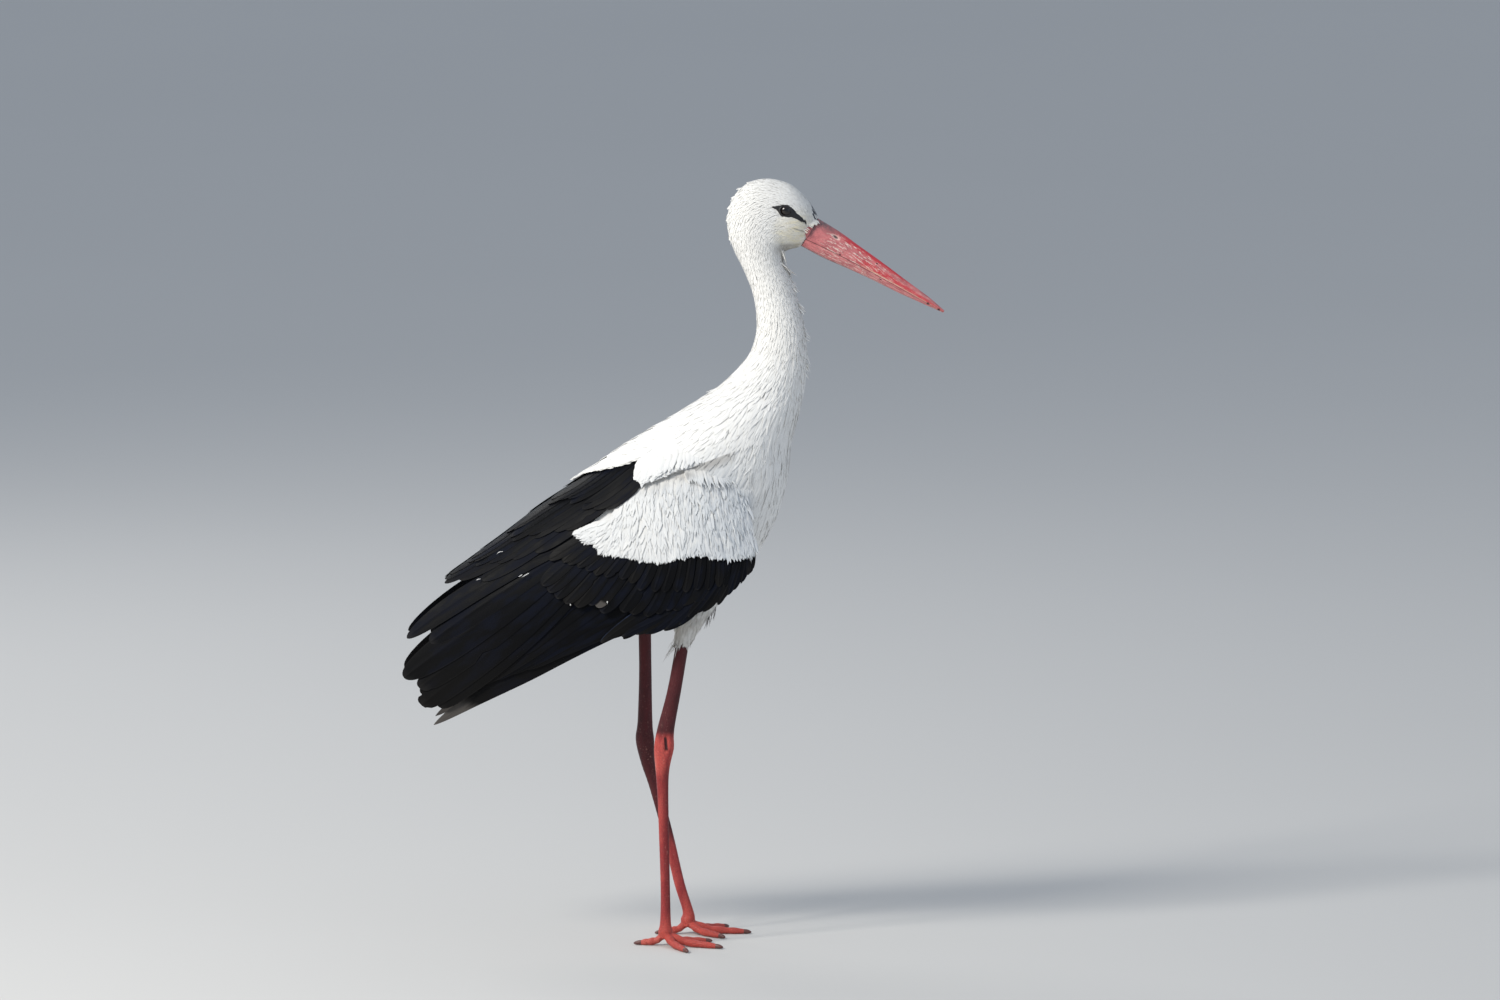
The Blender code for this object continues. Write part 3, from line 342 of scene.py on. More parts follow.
def layFeathers(surface, steps, root, tip, half, depth, outline, section, ridge, ease=0.8, bend=0.0, roll=0.0,
                notch=None, seed=0, chance=None):
    # Feathers as tubes of rings on a surface. The shaft runs straight in (u, v) from root to tip, pushed
    # sideways by bend times 4 s (1 - s). A ring point lies to the side by its reach times the half width and
    # the outline. Its depth is the shaft's, which goes from the root's to the tip's with s to the power ease,
    # less its height times the ridge, plus roll times its reach. A notch draws both edges in
    root, tip = np.asarray(root, float), np.asarray(tip, float)
    count = len(root)
    outline = np.asarray(outlines[outline] if isinstance(outline, str) else outline)
    share, swell = outline[:, 0], outline[:, 1]
    reach, height = (np.asarray(a, float) for a in sections[section])
    half, ridge, ease, bend, roll = (np.broadcast_to(np.asarray(a, float), (count,))
                                     for a in (half, ridge, ease, bend, roll))
    depth = np.broadcast_to(np.asarray(depth, float), (count, 2))
    middle = (root + tip) / 2
    middleScale = surfaceScale(surface, middle, steps)
    chord = (tip - root) * middleScale
    length = np.linalg.norm(chord, axis=-1)
    chord = unit(chord)
    across = packed(-chord[:, 1], chord[:, 0])
    swing = (bend[:, None] * 4 * share * (1 - share))[..., None] * (across / middleScale)[:, None, :]
    shaft = root[:, None, :] + (tip - root)[:, None, :] * share[None, :, None] + swing
    rowScale = surfaceScale(surface, shaft, steps)
    wide = half[:, None] * swell[None, :]
    side = wide[:, :, None] * reach[None, None, :]
    if notch is not None:
        side = side * np.where(reach < 0, notch[..., 0:1], notch[..., 1:2])
    place = shaft[:, :, None, :] + side[..., None] * (across[:, None, :] / rowScale)[:, :, None, :]
    level = depth[:, :1] + (depth[:, 1:] - depth[:, :1]) * share[None, :] ** ease[:, None]
    taper = np.minimum(1.0, 0.25 + swell / max(swell))
    level = level[:, :, None] - (ridge[:, None] * taper)[..., None] * height + (roll[:, None, None] * reach)
    points = surface(place[..., 0], place[..., 1], level)
    if chance is None:
        chance = np.random.default_rng(seed).random(count)
    chance = np.broadcast_to(np.asarray(chance, float), (count,))
    feather = packed(reach, share[None, :, None], chance[:, None, None])
    barbs = packed(side, (length[:, None] * share)[:, :, None], half[:, None, None])
    return {"points": points, "feather": feather, "barbs": barbs, "root": root}


patchSize = 0.003  # side of a small feather's patch on the bake map


def bakePatches(count, rows, around, corner, size):
    # Each tube unrolled on its own patch: round it to the right, from root to tip upwards, and its ends on it
    corner = np.asarray(corner).reshape(count, 1, 1, 2)
    size = np.broadcast_to(np.asarray(size, float), (2,))
    j, i = np.meshgrid(np.arange(around), np.arange(rows - 1))
    square = np.stack([packed(j, i), packed(j + 1, i), packed(j + 1, i + 1), packed(j, i + 1)],
                      axis=-2) / (around, rows - 1)
    sides = corner[:, None] + square[None] * size
    turn = np.arange(around) / around * 2 * math.pi
    disc = packed(0.5 + 0.1 * np.cos(turn), 0.5 + 0.1 * np.sin(turn))
    ends = [corner[:, :, 0] + (disc * (1, 0.1) + (0, y)) * size for y in (-0.05, 0.95)]
    return [sides.reshape(-1, 4, 2), ends[0][:, ::-1].reshape(-1, around, 2), ends[1].reshape(-1, around, 2)]


def featherPiece(name, groups, replaced=(), under=(), unwrap=None, sharp=50, kind="white"):
    # Groups of feathers, with any closed sheets under them, as one piece with its bake map: each feather
    # has a patch at its root's place on the map or, without unwrap, a cell of an even grid
    parts, uv, feather, barbs = [], [[], []], [], []
    cells = 0
    total = sum(len(g["points"]) for g in groups)
    across = max(1, math.ceil(math.sqrt(total)))
    for group in groups:
        count, rows, around, _ = group["points"].shape
        parts.append((group["points"].reshape(-1, 3), tubeFaces(count, rows, around)))
        if unwrap is None:
            order = cells + np.arange(count)
            corner = packed(order % across, order // across) / across + 0.04 / across
            size = 0.92 / across * 0.9
        else:
            corner, size = unwrap(group["root"]), patchSize
        cells += count
        uv.append(bakePatches(count, rows, around, corner, size))
        feather.append(group["feather"].reshape(-1, 3))
        barbs.append(group["barbs"].reshape(-1, 3))
    bakeMap = [layer for these in uv if these for layer in these]
    for points, polygons in under:
        parts.append((points, polygons))
        feather.append(np.tile((0.0, 0.5, 0.5), (len(points), 1)))
        barbs.append(np.zeros((len(points), 3)))
        low, high = points.min(axis=0), points.max(axis=0)
        flat = ((points - low) / (high - low))[:, [0, 2]] * 0.02 + 0.975
        bakeMap += [flat[faces] for faces in polygons]
    points, polygons = merged(parts)
    print(f"  {name}: {cells} feathers, {sum(f.shape[0] * (f.shape[1] - 2) for f in polygons)} triangles")
    addPiece(name, points, polygons, looks[kind], replaced,
             {"feather": np.concatenate(feather), "barbs": np.concatenate(barbs)}, bakeMap, sharp)


class Wire:
    # A number or colour in a shader: its operators add Math nodes
    def __init__(self, graph, socket):
        self.graph, self.socket = graph, socket

    def maths(self, operation, *values):
        # The operation's Math node on the values
        return self.graph.node("ShaderNodeMath", {"operation": operation}, dict(enumerate(values)))

    def __add__(self, other):
        return self.maths("ADD", self, other)

    def __sub__(self, other):
        return self.maths("SUBTRACT", self, other)

    def __rsub__(self, other):
        return self.maths("SUBTRACT", other, self)

    def __mul__(self, other):
        return self.maths("MULTIPLY", self, other)

    def __truediv__(self, other):
        return self.maths("DIVIDE", self, other)

    def __abs__(self):
        return self.maths("ABSOLUTE", self)

    __radd__, __rmul__ = __add__, __mul__

    def least(self, other):
        # The smaller of two values
        return self.maths("MINIMUM", self, other)

    def most(self, other):
        # The larger of two values
        return self.maths("MAXIMUM", self, other)


class Graph:
    # One material and its nodes
    def __init__(self, name, roughness, **settings):
        self.material = bpy.data.materials.new(name)
        self.material.use_nodes = True
        self.tree = self.material.node_tree
        self.shader = self.tree.nodes["Principled BSDF"]
        self.shader.inputs["Roughness"].default_value = roughness
        for title, value in settings.items():
            self.shader.inputs[title].default_value = value

    def node(self, kind, settings=None, inputs=None, output=0):
        # Any node: settings first, then its sockets, as values or links. It gives one output back
        made = self.tree.nodes.new(kind)
        for title, value in (settings or {}).items():
            setattr(made, title, value)
        for title, value in (inputs or {}).items():
            if isinstance(value, Wire):
                self.tree.links.new(value.socket, made.inputs[title])
            else:
                made.inputs[title].default_value = value
        return Wire(self, made.outputs[output])

    def feed(self, title, wire):
        # A wire into one input of the shader
        self.tree.links.new(wire.socket, self.shader.inputs[title])

    def attribute(self, title):
        # Vector kept with the mesh under a title
        return self.node("ShaderNodeAttribute", {"attribute_name": title}, output="Vector")

    def place(self):
        # Place in the piece's own metres
        return self.node("ShaderNodeTexCoord", output="Object")

    def axis(self, vector, letter):
        # One coordinate of a vector
        return self.node("ShaderNodeSeparateXYZ", None, {0: vector}, letter)

    def scaled(self, vector, factors):
        # Each coordinate times its own factor
        return self.node("ShaderNodeVectorMath", {"operation": "MULTIPLY"}, {0: vector, 1: factors})

    def distance(self, vector, point):
        # Length of the vector less the point
        return self.node("ShaderNodeVectorMath", {"operation": "DISTANCE"}, {0: vector, 1: point}, "Value")

    def vector(self, x, y, z):
        # Vector of three values
        return self.node("ShaderNodeCombineXYZ", None, {0: x, 1: y, 2: z})

    def noise(self, vector, scale, detail=2.0, roughness=0.5):
        # Soft noise at the vector times the scale
        return self.node("ShaderNodeTexNoise", None, {"Vector": vector, "Scale": scale, "Detail": detail,
                                                      "Roughness": roughness})

    def cells(self, vector, scale, feature="F1"):
        # Distance to the nearest of scattered points at the vector times the scale, or to the feature named
        return self.node("ShaderNodeTexVoronoi", {"feature": feature}, {"Vector": vector, "Scale": scale},
                         "Distance")

    def ramp(self, value, low, high, first=0.0, last=1.0):
        # Smooth step of a value between low and high, from first to last
        return self.node("ShaderNodeMapRange", {"interpolation_type": "SMOOTHSTEP"},
                         {"Value": value, "From Min": low, "From Max": high, "To Min": first, "To Max": last})

    def mix(self, factor, a, b):
        # Colour a where the factor is 0, b where it is 1. The node's inputs are 6 and 7
        a, b = (colour if isinstance(colour, Wire) else (*colour, 1) for colour in (a, b))
        return self.node("ShaderNodeMix", {"data_type": "RGBA"}, {0: factor, 6: a, 7: b}, 2)

    def bump(self, height, strength, distance):
        # Normal tilted by the slope of a height
        self.feed("Normal", self.node("ShaderNodeBump", None, {"Strength": strength, "Distance": distance,
                                                              "Height": height}, "Normal"))


whites = {"bright": (0.88, 0.867, 0.835), "shade": (0.83, 0.815, 0.78), "root": (0.75, 0.735, 0.70),
          "cream": (0.86, 0.76, 0.48), "paintedWingShade": (0.52, 0.55, 0.58), "hollow": (0.30, 0.285, 0.265),
          "soil": (0.55, 0.52, 0.47), "dusk": (0.11, 0.095, 0.080), "slate": (0.085, 0.092, 0.110),
          "brown": (0.035, 0.020, 0.012)}


def plumageColour(graph, place):
    # White with large soft patches, cream on the cheeks, dusky on the thighs, a short dark streak on the cheek;
    # dusky chin skin with a painted shadow in the jaw's crease; on the wings painted shade that greys them
    # lower down, and a painted shadow in the hollow under the shoulder's lobe
    mix, ramp = graph.mix, graph.ramp
    x, z = graph.axis(place, "X"), graph.axis(place, "Z")
    patches = graph.noise(place, 14.0, 3.0)
    base = mix(ramp(patches, 0.35, 0.70), whites["bright"], whites["shade"])
    flat = graph.vector(x, 0.0, z)
    cheek = ramp(graph.distance(flat, (0.148, 0.0, 0.858)), 0.006, 0.036, 1.0, 0.0)
    grain = graph.noise(graph.scaled(place, (60.0, 60.0, 240.0)), 1.0, 2.0)
    cream = cheek * ramp(grain, 0.30, 0.75, 0.30, 0.85)
    base = mix(cream, base, whites["cream"])
    # dusky skin under the chin, darkened further by a painted shadow in the crease under the jaw
    chinDuskAndShadow = ramp(z, 0.8470, 0.8415) * ramp(z, 0.8285, 0.8370) * ramp(x, 0.116, 0.134)
    base = mix(chinDuskAndShadow * ramp(patches, 0.30, 0.60, 0.35, 0.55), base, whites["dusk"])
    streak = ramp(abs(z - 0.8632 + (x - 0.1446) * 0.329), 0.0013, 0.0004) * ramp(x, 0.142, 0.147)
    base = mix(streak * ramp(x, 0.161, 0.157, 0.0, 0.6), base, whites["dusk"])
    side = ramp(abs(graph.axis(place, "Y")), 0.055, 0.070)
    # painted shade: the wing's whites greyer lower down and further forward
    low = ramp(z, 0.640, 0.540) * ramp(x, -0.060, 0.090, 0.38, 0.88)
    base = mix(low * side * ramp(patches, 0.30, 0.65, 0.75, 1.0), base, whites["paintedWingShade"])
    # painted shadow: a dark band in the hollow just under the crease of the shoulder's lobe
    under = (z - 0.5719 - x * 0.3714) * 0.937
    hollow = ramp(under, -0.016, -0.003) * ramp(under, 0.0012, -0.0006) * ramp(x, 0.082, 0.066)
    hollow = hollow * ramp(x, -0.050, 0.012, 0.10, 0.80)
    base = mix(hollow * side, base, whites["hollow"])
    hairs = graph.noise(graph.scaled(place, (90.0, 90.0, 25.0)), 1.0, 2.0)
    thigh = ramp(z, 0.425, 0.385) * ramp(hairs, 0.35, 0.65, 0.25, 0.75)
    return mix(thigh, base, whites["soil"])


def whitePlumage(name):
    # Each feather is darker at its root, from its grey down and from painted shade where the feathers overlap,
    # streaked along its barbs and a little different from the next
    graph = Graph(name, 0.88, **{"Specular IOR Level": 0.25})
    mix, ramp = graph.mix, graph.ramp
    place, feather, barbs = graph.place(), graph.attribute("feather"), graph.attribute("barbs")
    base = plumageColour(graph, place)
    alongShare, chance = graph.axis(feather, "Y"), graph.axis(feather, "Z")
    streaks = graph.noise(graph.scaled(barbs, (900.0, 60.0, 0.0)), 1.0, 2.0)
    # grey down at the root, and painted shade where the feathers overlap
    base = mix(ramp(alongShare, 0.20, 0.70, 0.8, 0.0), base, whites["root"])
    base = mix(ramp(streaks, 0.52, 0.78, 0.0, 0.45), base, whites["shade"])
    base = mix(ramp(chance, 0.80, 1.0, 0.0, 0.40), base, whites["shade"])
    slate = ramp(chance, 1.02, 1.06) * ramp(chance, 1.40, 1.35)
    base = mix(slate, base, whites["slate"])
    base = mix(ramp(chance, 1.4, 1.6), base, whites["brown"])
    graph.feed("Base Color", base)
    graph.bump(streaks, 0.25, 0.0004)
    return graph.material


def whiteSkin(name):
    # The skin under the coat carries the same markings and painted shade, a little darker
    graph = Graph(name, 0.9, **{"Specular IOR Level": 0.2})
    place = graph.place()
    base = graph.mix(0.45, plumageColour(graph, place), whites["root"])
    graph.feed("Base Color", base)
    graph.bump(graph.noise(place, 260.0, 3.0), 0.4, 0.001)
    return graph.material


blacks = {"deep": (0.0016, 0.0018, 0.0026), "worn": (0.0070, 0.0064, 0.0058), "edge": (0.020, 0.0185, 0.017),
          "blue": (0.0024, 0.0036, 0.0088), "sheen": (0.022, 0.032, 0.062), "faded": (0.075, 0.068, 0.062)}


def blackPlumage(name):
    # Near black with bluish patches, fine slanting barbs, worn grey-brown tips, and worn edges with a painted
    # rim highlight; a chance over 1 gives a feather a painted bluish sheen on one edge, and over 2 a grey-brown
    # tip
    graph = Graph(name, 0.55, **{"Specular IOR Level": 0.08})
    mix, ramp, axis = graph.mix, graph.ramp, graph.axis
    feather, barbs = graph.attribute("feather"), graph.attribute("barbs")
    side, share, kind = axis(feather, "X"), axis(feather, "Y"), axis(feather, "Z")
    reach, run = axis(barbs, "X"), axis(barbs, "Y")
    slant = run - abs(reach) * 1.7
    threads = graph.noise(graph.vector(slant * 1500.0, reach * 60.0, kind * 40.0), 1.0, 1.0)
    patches = graph.noise(graph.vector(run * 26.0, reach * 80.0, kind * 31.0), 1.0, 3.0)
    base = mix(ramp(patches, 0.42, 0.66), blacks["deep"], blacks["blue"])
    brown = ramp(kind, 0.45, 1.0) * ramp(share, 0.30, 1.0) * 0.75
    base = mix(brown + ramp(threads, 0.55, 0.80, 0.0, 0.18), base, blacks["worn"])
    # worn edges, with a painted rim highlight along them
    rim = ramp(abs(side), 0.90, 1.0) * ramp(share, 0.45, 0.95) * 0.35
    worn = ramp(share + patches * 0.10, 1.00, 1.06) * 0.5
    base = mix(rim.most(worn).least(1.0), base, blacks["edge"])
    # painted sheen: a bluish highlight along one edge of the feather
    blue = ramp(kind, 1.05, 1.15) * ramp(kind, 1.95, 1.85) * ramp(side, -0.80, -0.95)
    base = mix(blue * ramp(patches, 0.38, 0.60, 0.35, 1.0), base, blacks["sheen"])
    grey = ramp(kind, 1.95, 2.05) * ramp(share + patches * 0.12, 0.88, 0.945)
    base = mix(grey, base, blacks["faded"])
    graph.feed("Base Color", base)
    graph.feed("Roughness", ramp(patches, 0.3, 0.7, 0.46, 0.62))
    graph.bump(threads, 0.30, 0.00035)
    return graph.material


looks = {"white": whitePlumage("white_plumes"), "skin": whiteSkin("white_skin"),
         "black": blackPlumage("black_feathers")}
print("materials: plumage")


coat = {
    "seed": 11,
    # row, spacing along the lie and round the body, length, half width, depth of the tips, ridge, in metres
    "table": [(0.0, 0.0015, 0.0013, 0.0052, 0.00085, 0.0001, 0.00015),
              (2.0, 0.0017, 0.0015, 0.0074, 0.0010, 0.0, 0.00015),
              (4.0, 0.0021, 0.0017, 0.0100, 0.0012, 0.0, 0.00016),
              (7.0, 0.0026, 0.0021, 0.0145, 0.0015, 0.0, 0.00018),
              (9.6, 0.0031, 0.0024, 0.0195, 0.0018, 0.0, 0.00020),
              (12.0, 0.0040, 0.0031, 0.0275, 0.0026, 0.0, 0.00025),
              (14.0, 0.0046, 0.0040, 0.0360, 0.0034, 0.0001, 0.00028),
              (17.0, 0.0050, 0.0046, 0.0390, 0.0042, 0.0001, 0.0003),
              (23.0, 0.0048, 0.0042, 0.0330, 0.0040, 0.0003, 0.0004)],
    "parts": [("plumes_face", 0.02, 2.0), ("plumes_head", 2.0, 7.0), ("plumes_neck", 7.0, 13.0),
              ("plumes_body", 13.0, 22.9)],
    "dark": (0.60, 42),  # row and half angle at the forehead to which the root of the bill's ridge is grey
}
eyePatch = {
    # outline of the bare skin round the eye, forward and up from the eye in millimetres
    "outline": [(-18.2, 4.9), (-13.5, 4.9), (-10.0, 5.0), (-5.0, 6.3), (0.5, 6.8), (4.8, 4.8), (8.8, 1.4),
                (14.0, -4.8), (20.0, -9.0), (23.0, -13.6), (25.0, -19.5), (21.5, -14.0), (16.0, -11.4),
                (8.0, -8.2), (2.5, -8.2), (-2.5, -7.6), (-6.2, -6.0), (-9.0, -1.5), (-12.5, 2.6)],
    "opening": (0.0063, 0.0056), "lidHeight": 0.0007,
}
eyeRadius = 0.0072
eyes = {side: np.array([sum(pair) / 2 for pair in zip(*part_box("eye_" + side))]) for side in ("right", "left")}


def insidePolygon(x, z, corners):
    # Even-odd rule: how many edges of the outline a ray to the right crosses
    x, z = np.asarray(x)[..., None], np.asarray(z)[..., None]
    a, b = corners, np.roll(corners, -1, axis=0)
    straddles = (a[:, 1] > z) != (b[:, 1] > z)
    rise = np.where(a[:, 1] == b[:, 1], 1e-9, b[:, 1] - a[:, 1])
    crossing = a[:, 0] + (z - a[:, 1]) / rise * (b[:, 0] - a[:, 0])
    return (straddles & (x < crossing)).sum(axis=-1) % 2 == 1


eyeOutline = np.array(eyePatch["outline"]) / 1000 + eyes["right"][[0, 2]]


def gapeRow(degrees):
    # Row down to which the corner of the mouth is bare: a lens round its angle on either side
    off = np.minimum(np.abs(degrees % 360 - 180), np.abs((degrees + 180) % 360 - 180))
    return 0.40 * np.clip(1 - (off / 18) ** 2, 0, 1)


def bodyRoots(start, end, rng):
    # Rings of feather roots: the ring numbers are the running sum of length over spacing, every other ring is
    # turned by half a step, and each root is jittered
    t = np.linspace(start, end, 800)
    line = curveThrough(body["rows"], t)
    middle = (line[:, 0:2] + line[:, 2:4]) / 2
    run = np.linalg.norm(np.diff(middle, axis=0), axis=1)
    table = np.asarray(coat["table"])
    number = np.concatenate([[0], np.cumsum(run / np.interp(t[1:], table[:, 0], table[:, 1]))])
    rings = np.interp(np.arange(int(number[-1]) + 1), number, t)
    found = []
    for i, row in enumerate(rings):
        line = curveThrough(body["rows"], row)
        girth = math.pi * (np.linalg.norm(line[0:2] - line[2:4]) / 2 + line[4])
        count = max(12, round(girth / np.interp(row, table[:, 0], table[:, 2])))
        turn = (np.arange(count) + 0.5 * (i % 2) + rng.uniform(-0.28, 0.28, count)) * 360 / count
        found.append(packed(row + rng.uniform(-0.28, 0.28, count) * (rings[1] - rings[0]), turn))
    roots = np.concatenate(found)
    return roots[(roots[:, 0] > 0.015) & (roots[:, 0] < end + 0.05)]


def bodyUnwrap(root):
    # Rows up the map, and turns across it
    return packed((root[:, 1] % 360) / 360 * 0.96 + 0.01, root[:, 0] / 23.5 * 0.96 + 0.01)


def bodyCoat(name, start, end, seed):
    # Each feather starts under the surface, at the skin, and its tip comes up to the surface
    rng = np.random.default_rng(seed)
    root = bodyRoots(start, end, rng)
    turn = (root[:, 1] + 90) % 360 - 90
    hidden = (root[:, 0] > 17.2) & (turn > 12) & (turn < 168)
    root = root[~hidden]
    count = len(root)
    table = np.asarray(coat["table"])
    length, half, tipDepth, ridge = (np.interp(root[:, 0], table[:, 0], table[:, k]) for k in (3, 4, 5, 6))
    length = length * rng.uniform(0.85, 1.15, count)
    scale = surfaceScale(bodySurface, root, bodySteps)
    heading = np.radians(rng.normal(0, 6, count))
    tip = tipsFrom(root, heading, length, scale)
    tip[:, 0] = np.minimum(tip[:, 0], 23.0)
    places = [bodySurface(*(root + (tip - root) * s).T, 0.0) for s in (0.0, 0.35, 0.7, 1.0)]
    bare = [insidePolygon(p[:, 0], p[:, 2], eyeOutline) | (root[:, 0] < gapeRow(root[:, 1])) for p in places]
    clear = ~np.any(bare, axis=0)
    root, tip, length, half, tipDepth, ridge = (a[clear] for a in (root, tip, length, half, tipDepth, ridge))
    count = len(root)
    skin = np.minimum(along(body["skinDepth"], root[:, 0]), length * 0.12 + 0.0006)
    lift = rng.normal(0, 1, count) * length * 0.005
    depth = packed(skin, tipDepth - lift)
    chance = rng.random(count)
    off = np.abs(root[:, 1] % 360 - 90) / coat["dark"][1] + (root[:, 0] / coat["dark"][0]) ** 2
    chance = np.where((off < 1.0) & (chance < 0.75), 1.2, chance)
    group = layFeathers(bodySurface, bodySteps, root, tip, half * rng.uniform(0.85, 1.2, count), depth,
                        "oval" if start > 12 else "lance", "fine", ridge, ease=0.7,
                        bend=rng.normal(0, 0.03, count) * length, roll=rng.normal(0, 0.03, count) * half,
                        chance=chance)
    featherPiece(name, [group], unwrap=bodyUnwrap)


def shellOf(surface, last, rows, around, depthAt):
    # Closed tube on a surface from row 0 to the last one, at a depth given by the row
    u, v = np.meshgrid(np.linspace(0, last, rows), np.arange(around) / around * 360, indexing="ij")
    return surface(u, v, depthAt(u)).reshape(-1, 3), tubeFaces(1, rows, around)


def fuse(piece, voxel, smooth):
    # Joins overlapping closed shells into one skin on a fine grid of cells, then evens it out
    remesh = piece.modifiers.new("fuse", "REMESH")
    remesh.mode = "VOXEL"
    remesh.voxel_size = voxel
    even = piece.modifiers.new("even", "SMOOTH")
    even.factor, even.iterations = 0.5, smooth
    bpy.context.view_layer.update()
    graph = bpy.context.evaluated_depsgraph_get()
    made = bpy.data.meshes.new_from_object(piece.evaluated_get(graph))
    piece.modifiers.clear()
    old, piece.data = piece.data, made
    made.name = old.name
    bpy.data.meshes.remove(old)
    made.polygons.foreach_set("use_smooth", np.ones(len(made.polygons), bool))


skinMesh = {"rows": 150, "around": 72, "thighRows": 24, "thighAround": 32, "thighDepth": 0.0030,
            "grid": 0.0016, "smooth": 2}


def buildSkin():
    # The body's own surface at the skin's depth, closed at both ends, joined with the two thighs
    shells = [shellOf(bodySurface, len(body["rows"]) - 1, skinMesh["rows"], skinMesh["around"],
                      lambda row: along(body["skinDepth"], row))]
    for leg in legs.values():
        shells.append(shellOf(limbSurface(leg["thigh"]), len(leg["thigh"]) - 1, skinMesh["thighRows"],
                              skinMesh["thighAround"], lambda row: skinMesh["thighDepth"]))
    points, polygons = merged(shells)
    piece = addPiece("skin", points, polygons, looks["skin"],
                     ("head", "neck", "torso", "thigh_right", "thigh_left"), sharp=0)
    fuse(piece, skinMesh["grid"], skinMesh["smooth"])


buildSkin()
for number, (title, start, end) in enumerate(coat["parts"]):
    bodyCoat(title, start, end, coat["seed"] + number)
print("body coat")

plumes = {"seed": 31, "rows": (10.6, 17.6), "rowStep": 0.30, "reach": 74, "spacing": 0.0048,
          "length": [(10.6, 0.026), (12.5, 0.040), (15.0, 0.054), (17.6, 0.046)],
          "half": [(10.6, 0.0018), (14.0, 0.0027), (17.6, 0.0036)]}


def breastPlumes():
    # Long pointed feathers down the foreneck and breast, in rings that reach the same angle to both sides
    rng = np.random.default_rng(plumes["seed"])
    roots = []
    for i, row in enumerate(np.arange(plumes["rows"][0], plumes["rows"][1], plumes["rowStep"])):
        width = float(curveThrough(body["rows"], row)[4])
        count = round(2 * math.radians(plumes["reach"]) * width / plumes["spacing"])
        turn = -90 + plumes["reach"] * (2 * (np.arange(count) + 0.5 * (i % 2) + 0.25) / count - 1)
        turn += rng.normal(0, 1.2, count)
        roots.append(packed(row + rng.uniform(-0.14, 0.14, count), turn))
    root = np.concatenate(roots)
    count = len(root)
    length = along(plumes["length"], root[:, 0]) * rng.uniform(0.75, 1.2, count)
    half = along(plumes["half"], root[:, 0]) * rng.uniform(0.8, 1.2, count)
    scale = surfaceScale(bodySurface, root, bodySteps)
    heading = np.radians(rng.normal(0, 5, count))
    tip = tipsFrom(root, heading, length, scale)
    edge = np.abs(root[:, 1] + 90) / plumes["reach"]
    rise = rng.uniform(-0.0003, 0.0008, count) * np.clip(1.3 - edge, 0.2, 1)
    group = layFeathers(bodySurface, bodySteps, root, tip, half, packed(0.0026, -rise), "lance", "fine",
                        0.0005, ease=0.6, bend=rng.normal(0, 0.06, count) * length,
                        roll=rng.normal(0, 0.07, count) * half, seed=plumes["seed"])
    featherPiece("plumes_breast", [group], unwrap=bodyUnwrap)


breastPlumes()

# Loose wisps: row, degrees, how many, length, how far their tips stand off, heading in degrees, colour kind
strays = [(3.5, -116, 40, 0.0095, 0.0160, 80, 0.2), (5.9, -114, 40, 0.0095, 0.0140, 70, 0.2),
          (6.7, -106, 10, 0.0080, 0.0045, 35, 0.3), (7.9, -104, 12, 0.0090, 0.0045, 30, 0.3),
          (9.2, -104, 12, 0.0110, 0.0050, 30, 0.3), (10.6, -104, 12, 0.0120, 0.0050, 30, 0.3),
          (12.0, -106, 12, 0.0140, 0.0055, 30, 0.3), (4.4, 96, 7, 0.0070, 0.0026, 0, 0.3),
          (3.7, 98, 4, 0.0060, 0.0018, 0, 0.3), (5.0, 93, 4, 0.0070, 0.0018, 0, 0.3),
          (5.6, 96, 5, 0.0080, 0.0020, 0, 0.5), (6.6, 90, 5, 0.0090, 0.0018, 0, 0.5),
          (13.1, 92, 4, 0.0160, 0.0040, 6, 0.5)]


def strayTufts(seed=71):
    # Each tuft is a small fan of wisps whose tips bend away from the body
    rng, groups = np.random.default_rng(seed), []
    for row, degrees, count, length, off, heading, look in strays:
        root = np.array([row, degrees]) + rng.normal(0, 1, (count, 2)) * (0.14, 6)
        scale = surfaceScale(bodySurface, root, bodySteps)
        turn = np.radians(heading + rng.normal(0, 16, count))
        reach = length * rng.uniform(0.7, 1.2, count)
        tip = tipsFrom(root, turn, reach, scale)
        depth = packed(0.0012, -off * rng.uniform(0.4, 1.1, count))
        groups.append(layFeathers(bodySurface, bodySteps, root, tip, 0.0008, depth, "wisp", "fine", 0.0004,
                                  ease=1.1, bend=rng.normal(0, 0.16, count) * reach,
                                  roll=rng.normal(0, 0.0004, count), chance=look))
    featherPiece("stray_tufts", groups, unwrap=bodyUnwrap)


strayTufts()
print("breast")


wingCoats = {
    "seed": 51,
    "coverts": {"columns": 80, "rows": 33, "length": 0.027, "half": 0.0026, "ridge": 0.00030},
    "mantle": {"columns": 34, "rows": 26, "length": 0.036, "half": 0.0070, "ridge": 0.00028},
    # feathers whose tips follow a line: title, line, count, length, half width, depth of the tips, heading
    # in degrees from straight back towards straight down, outline, section
    "hems": [("mantleEdge", 56, 0.032, 0.0036, -0.0026, (4, 26), "round", "broad"),
             ("lobe", 70, 0.028, 0.0040, -0.0044, (36, 62), "oval", "broad"),
             ("lowerFold", 60, 0.020, 0.0022, -0.0022, (62, 84), "lance", "fine")],
}
# A smooth slope from the breast onto the wing: the line it follows down the wing's front edge, how far round
# the breast it starts, how far behind the edge it ends, and its feathers
front = {"edge": [(-0.050, 52), (-0.045, 60), (-0.031, 66.4), (-0.017, 72.8), (-0.002, 79.5), (0.012, 86),
                  (0.022, 89.5), (0.034, 91.0)],
         "ahead": 0.026, "behind": 0.012, "columns": 30, "rows": 34, "length": 0.030, "half": 0.0021}


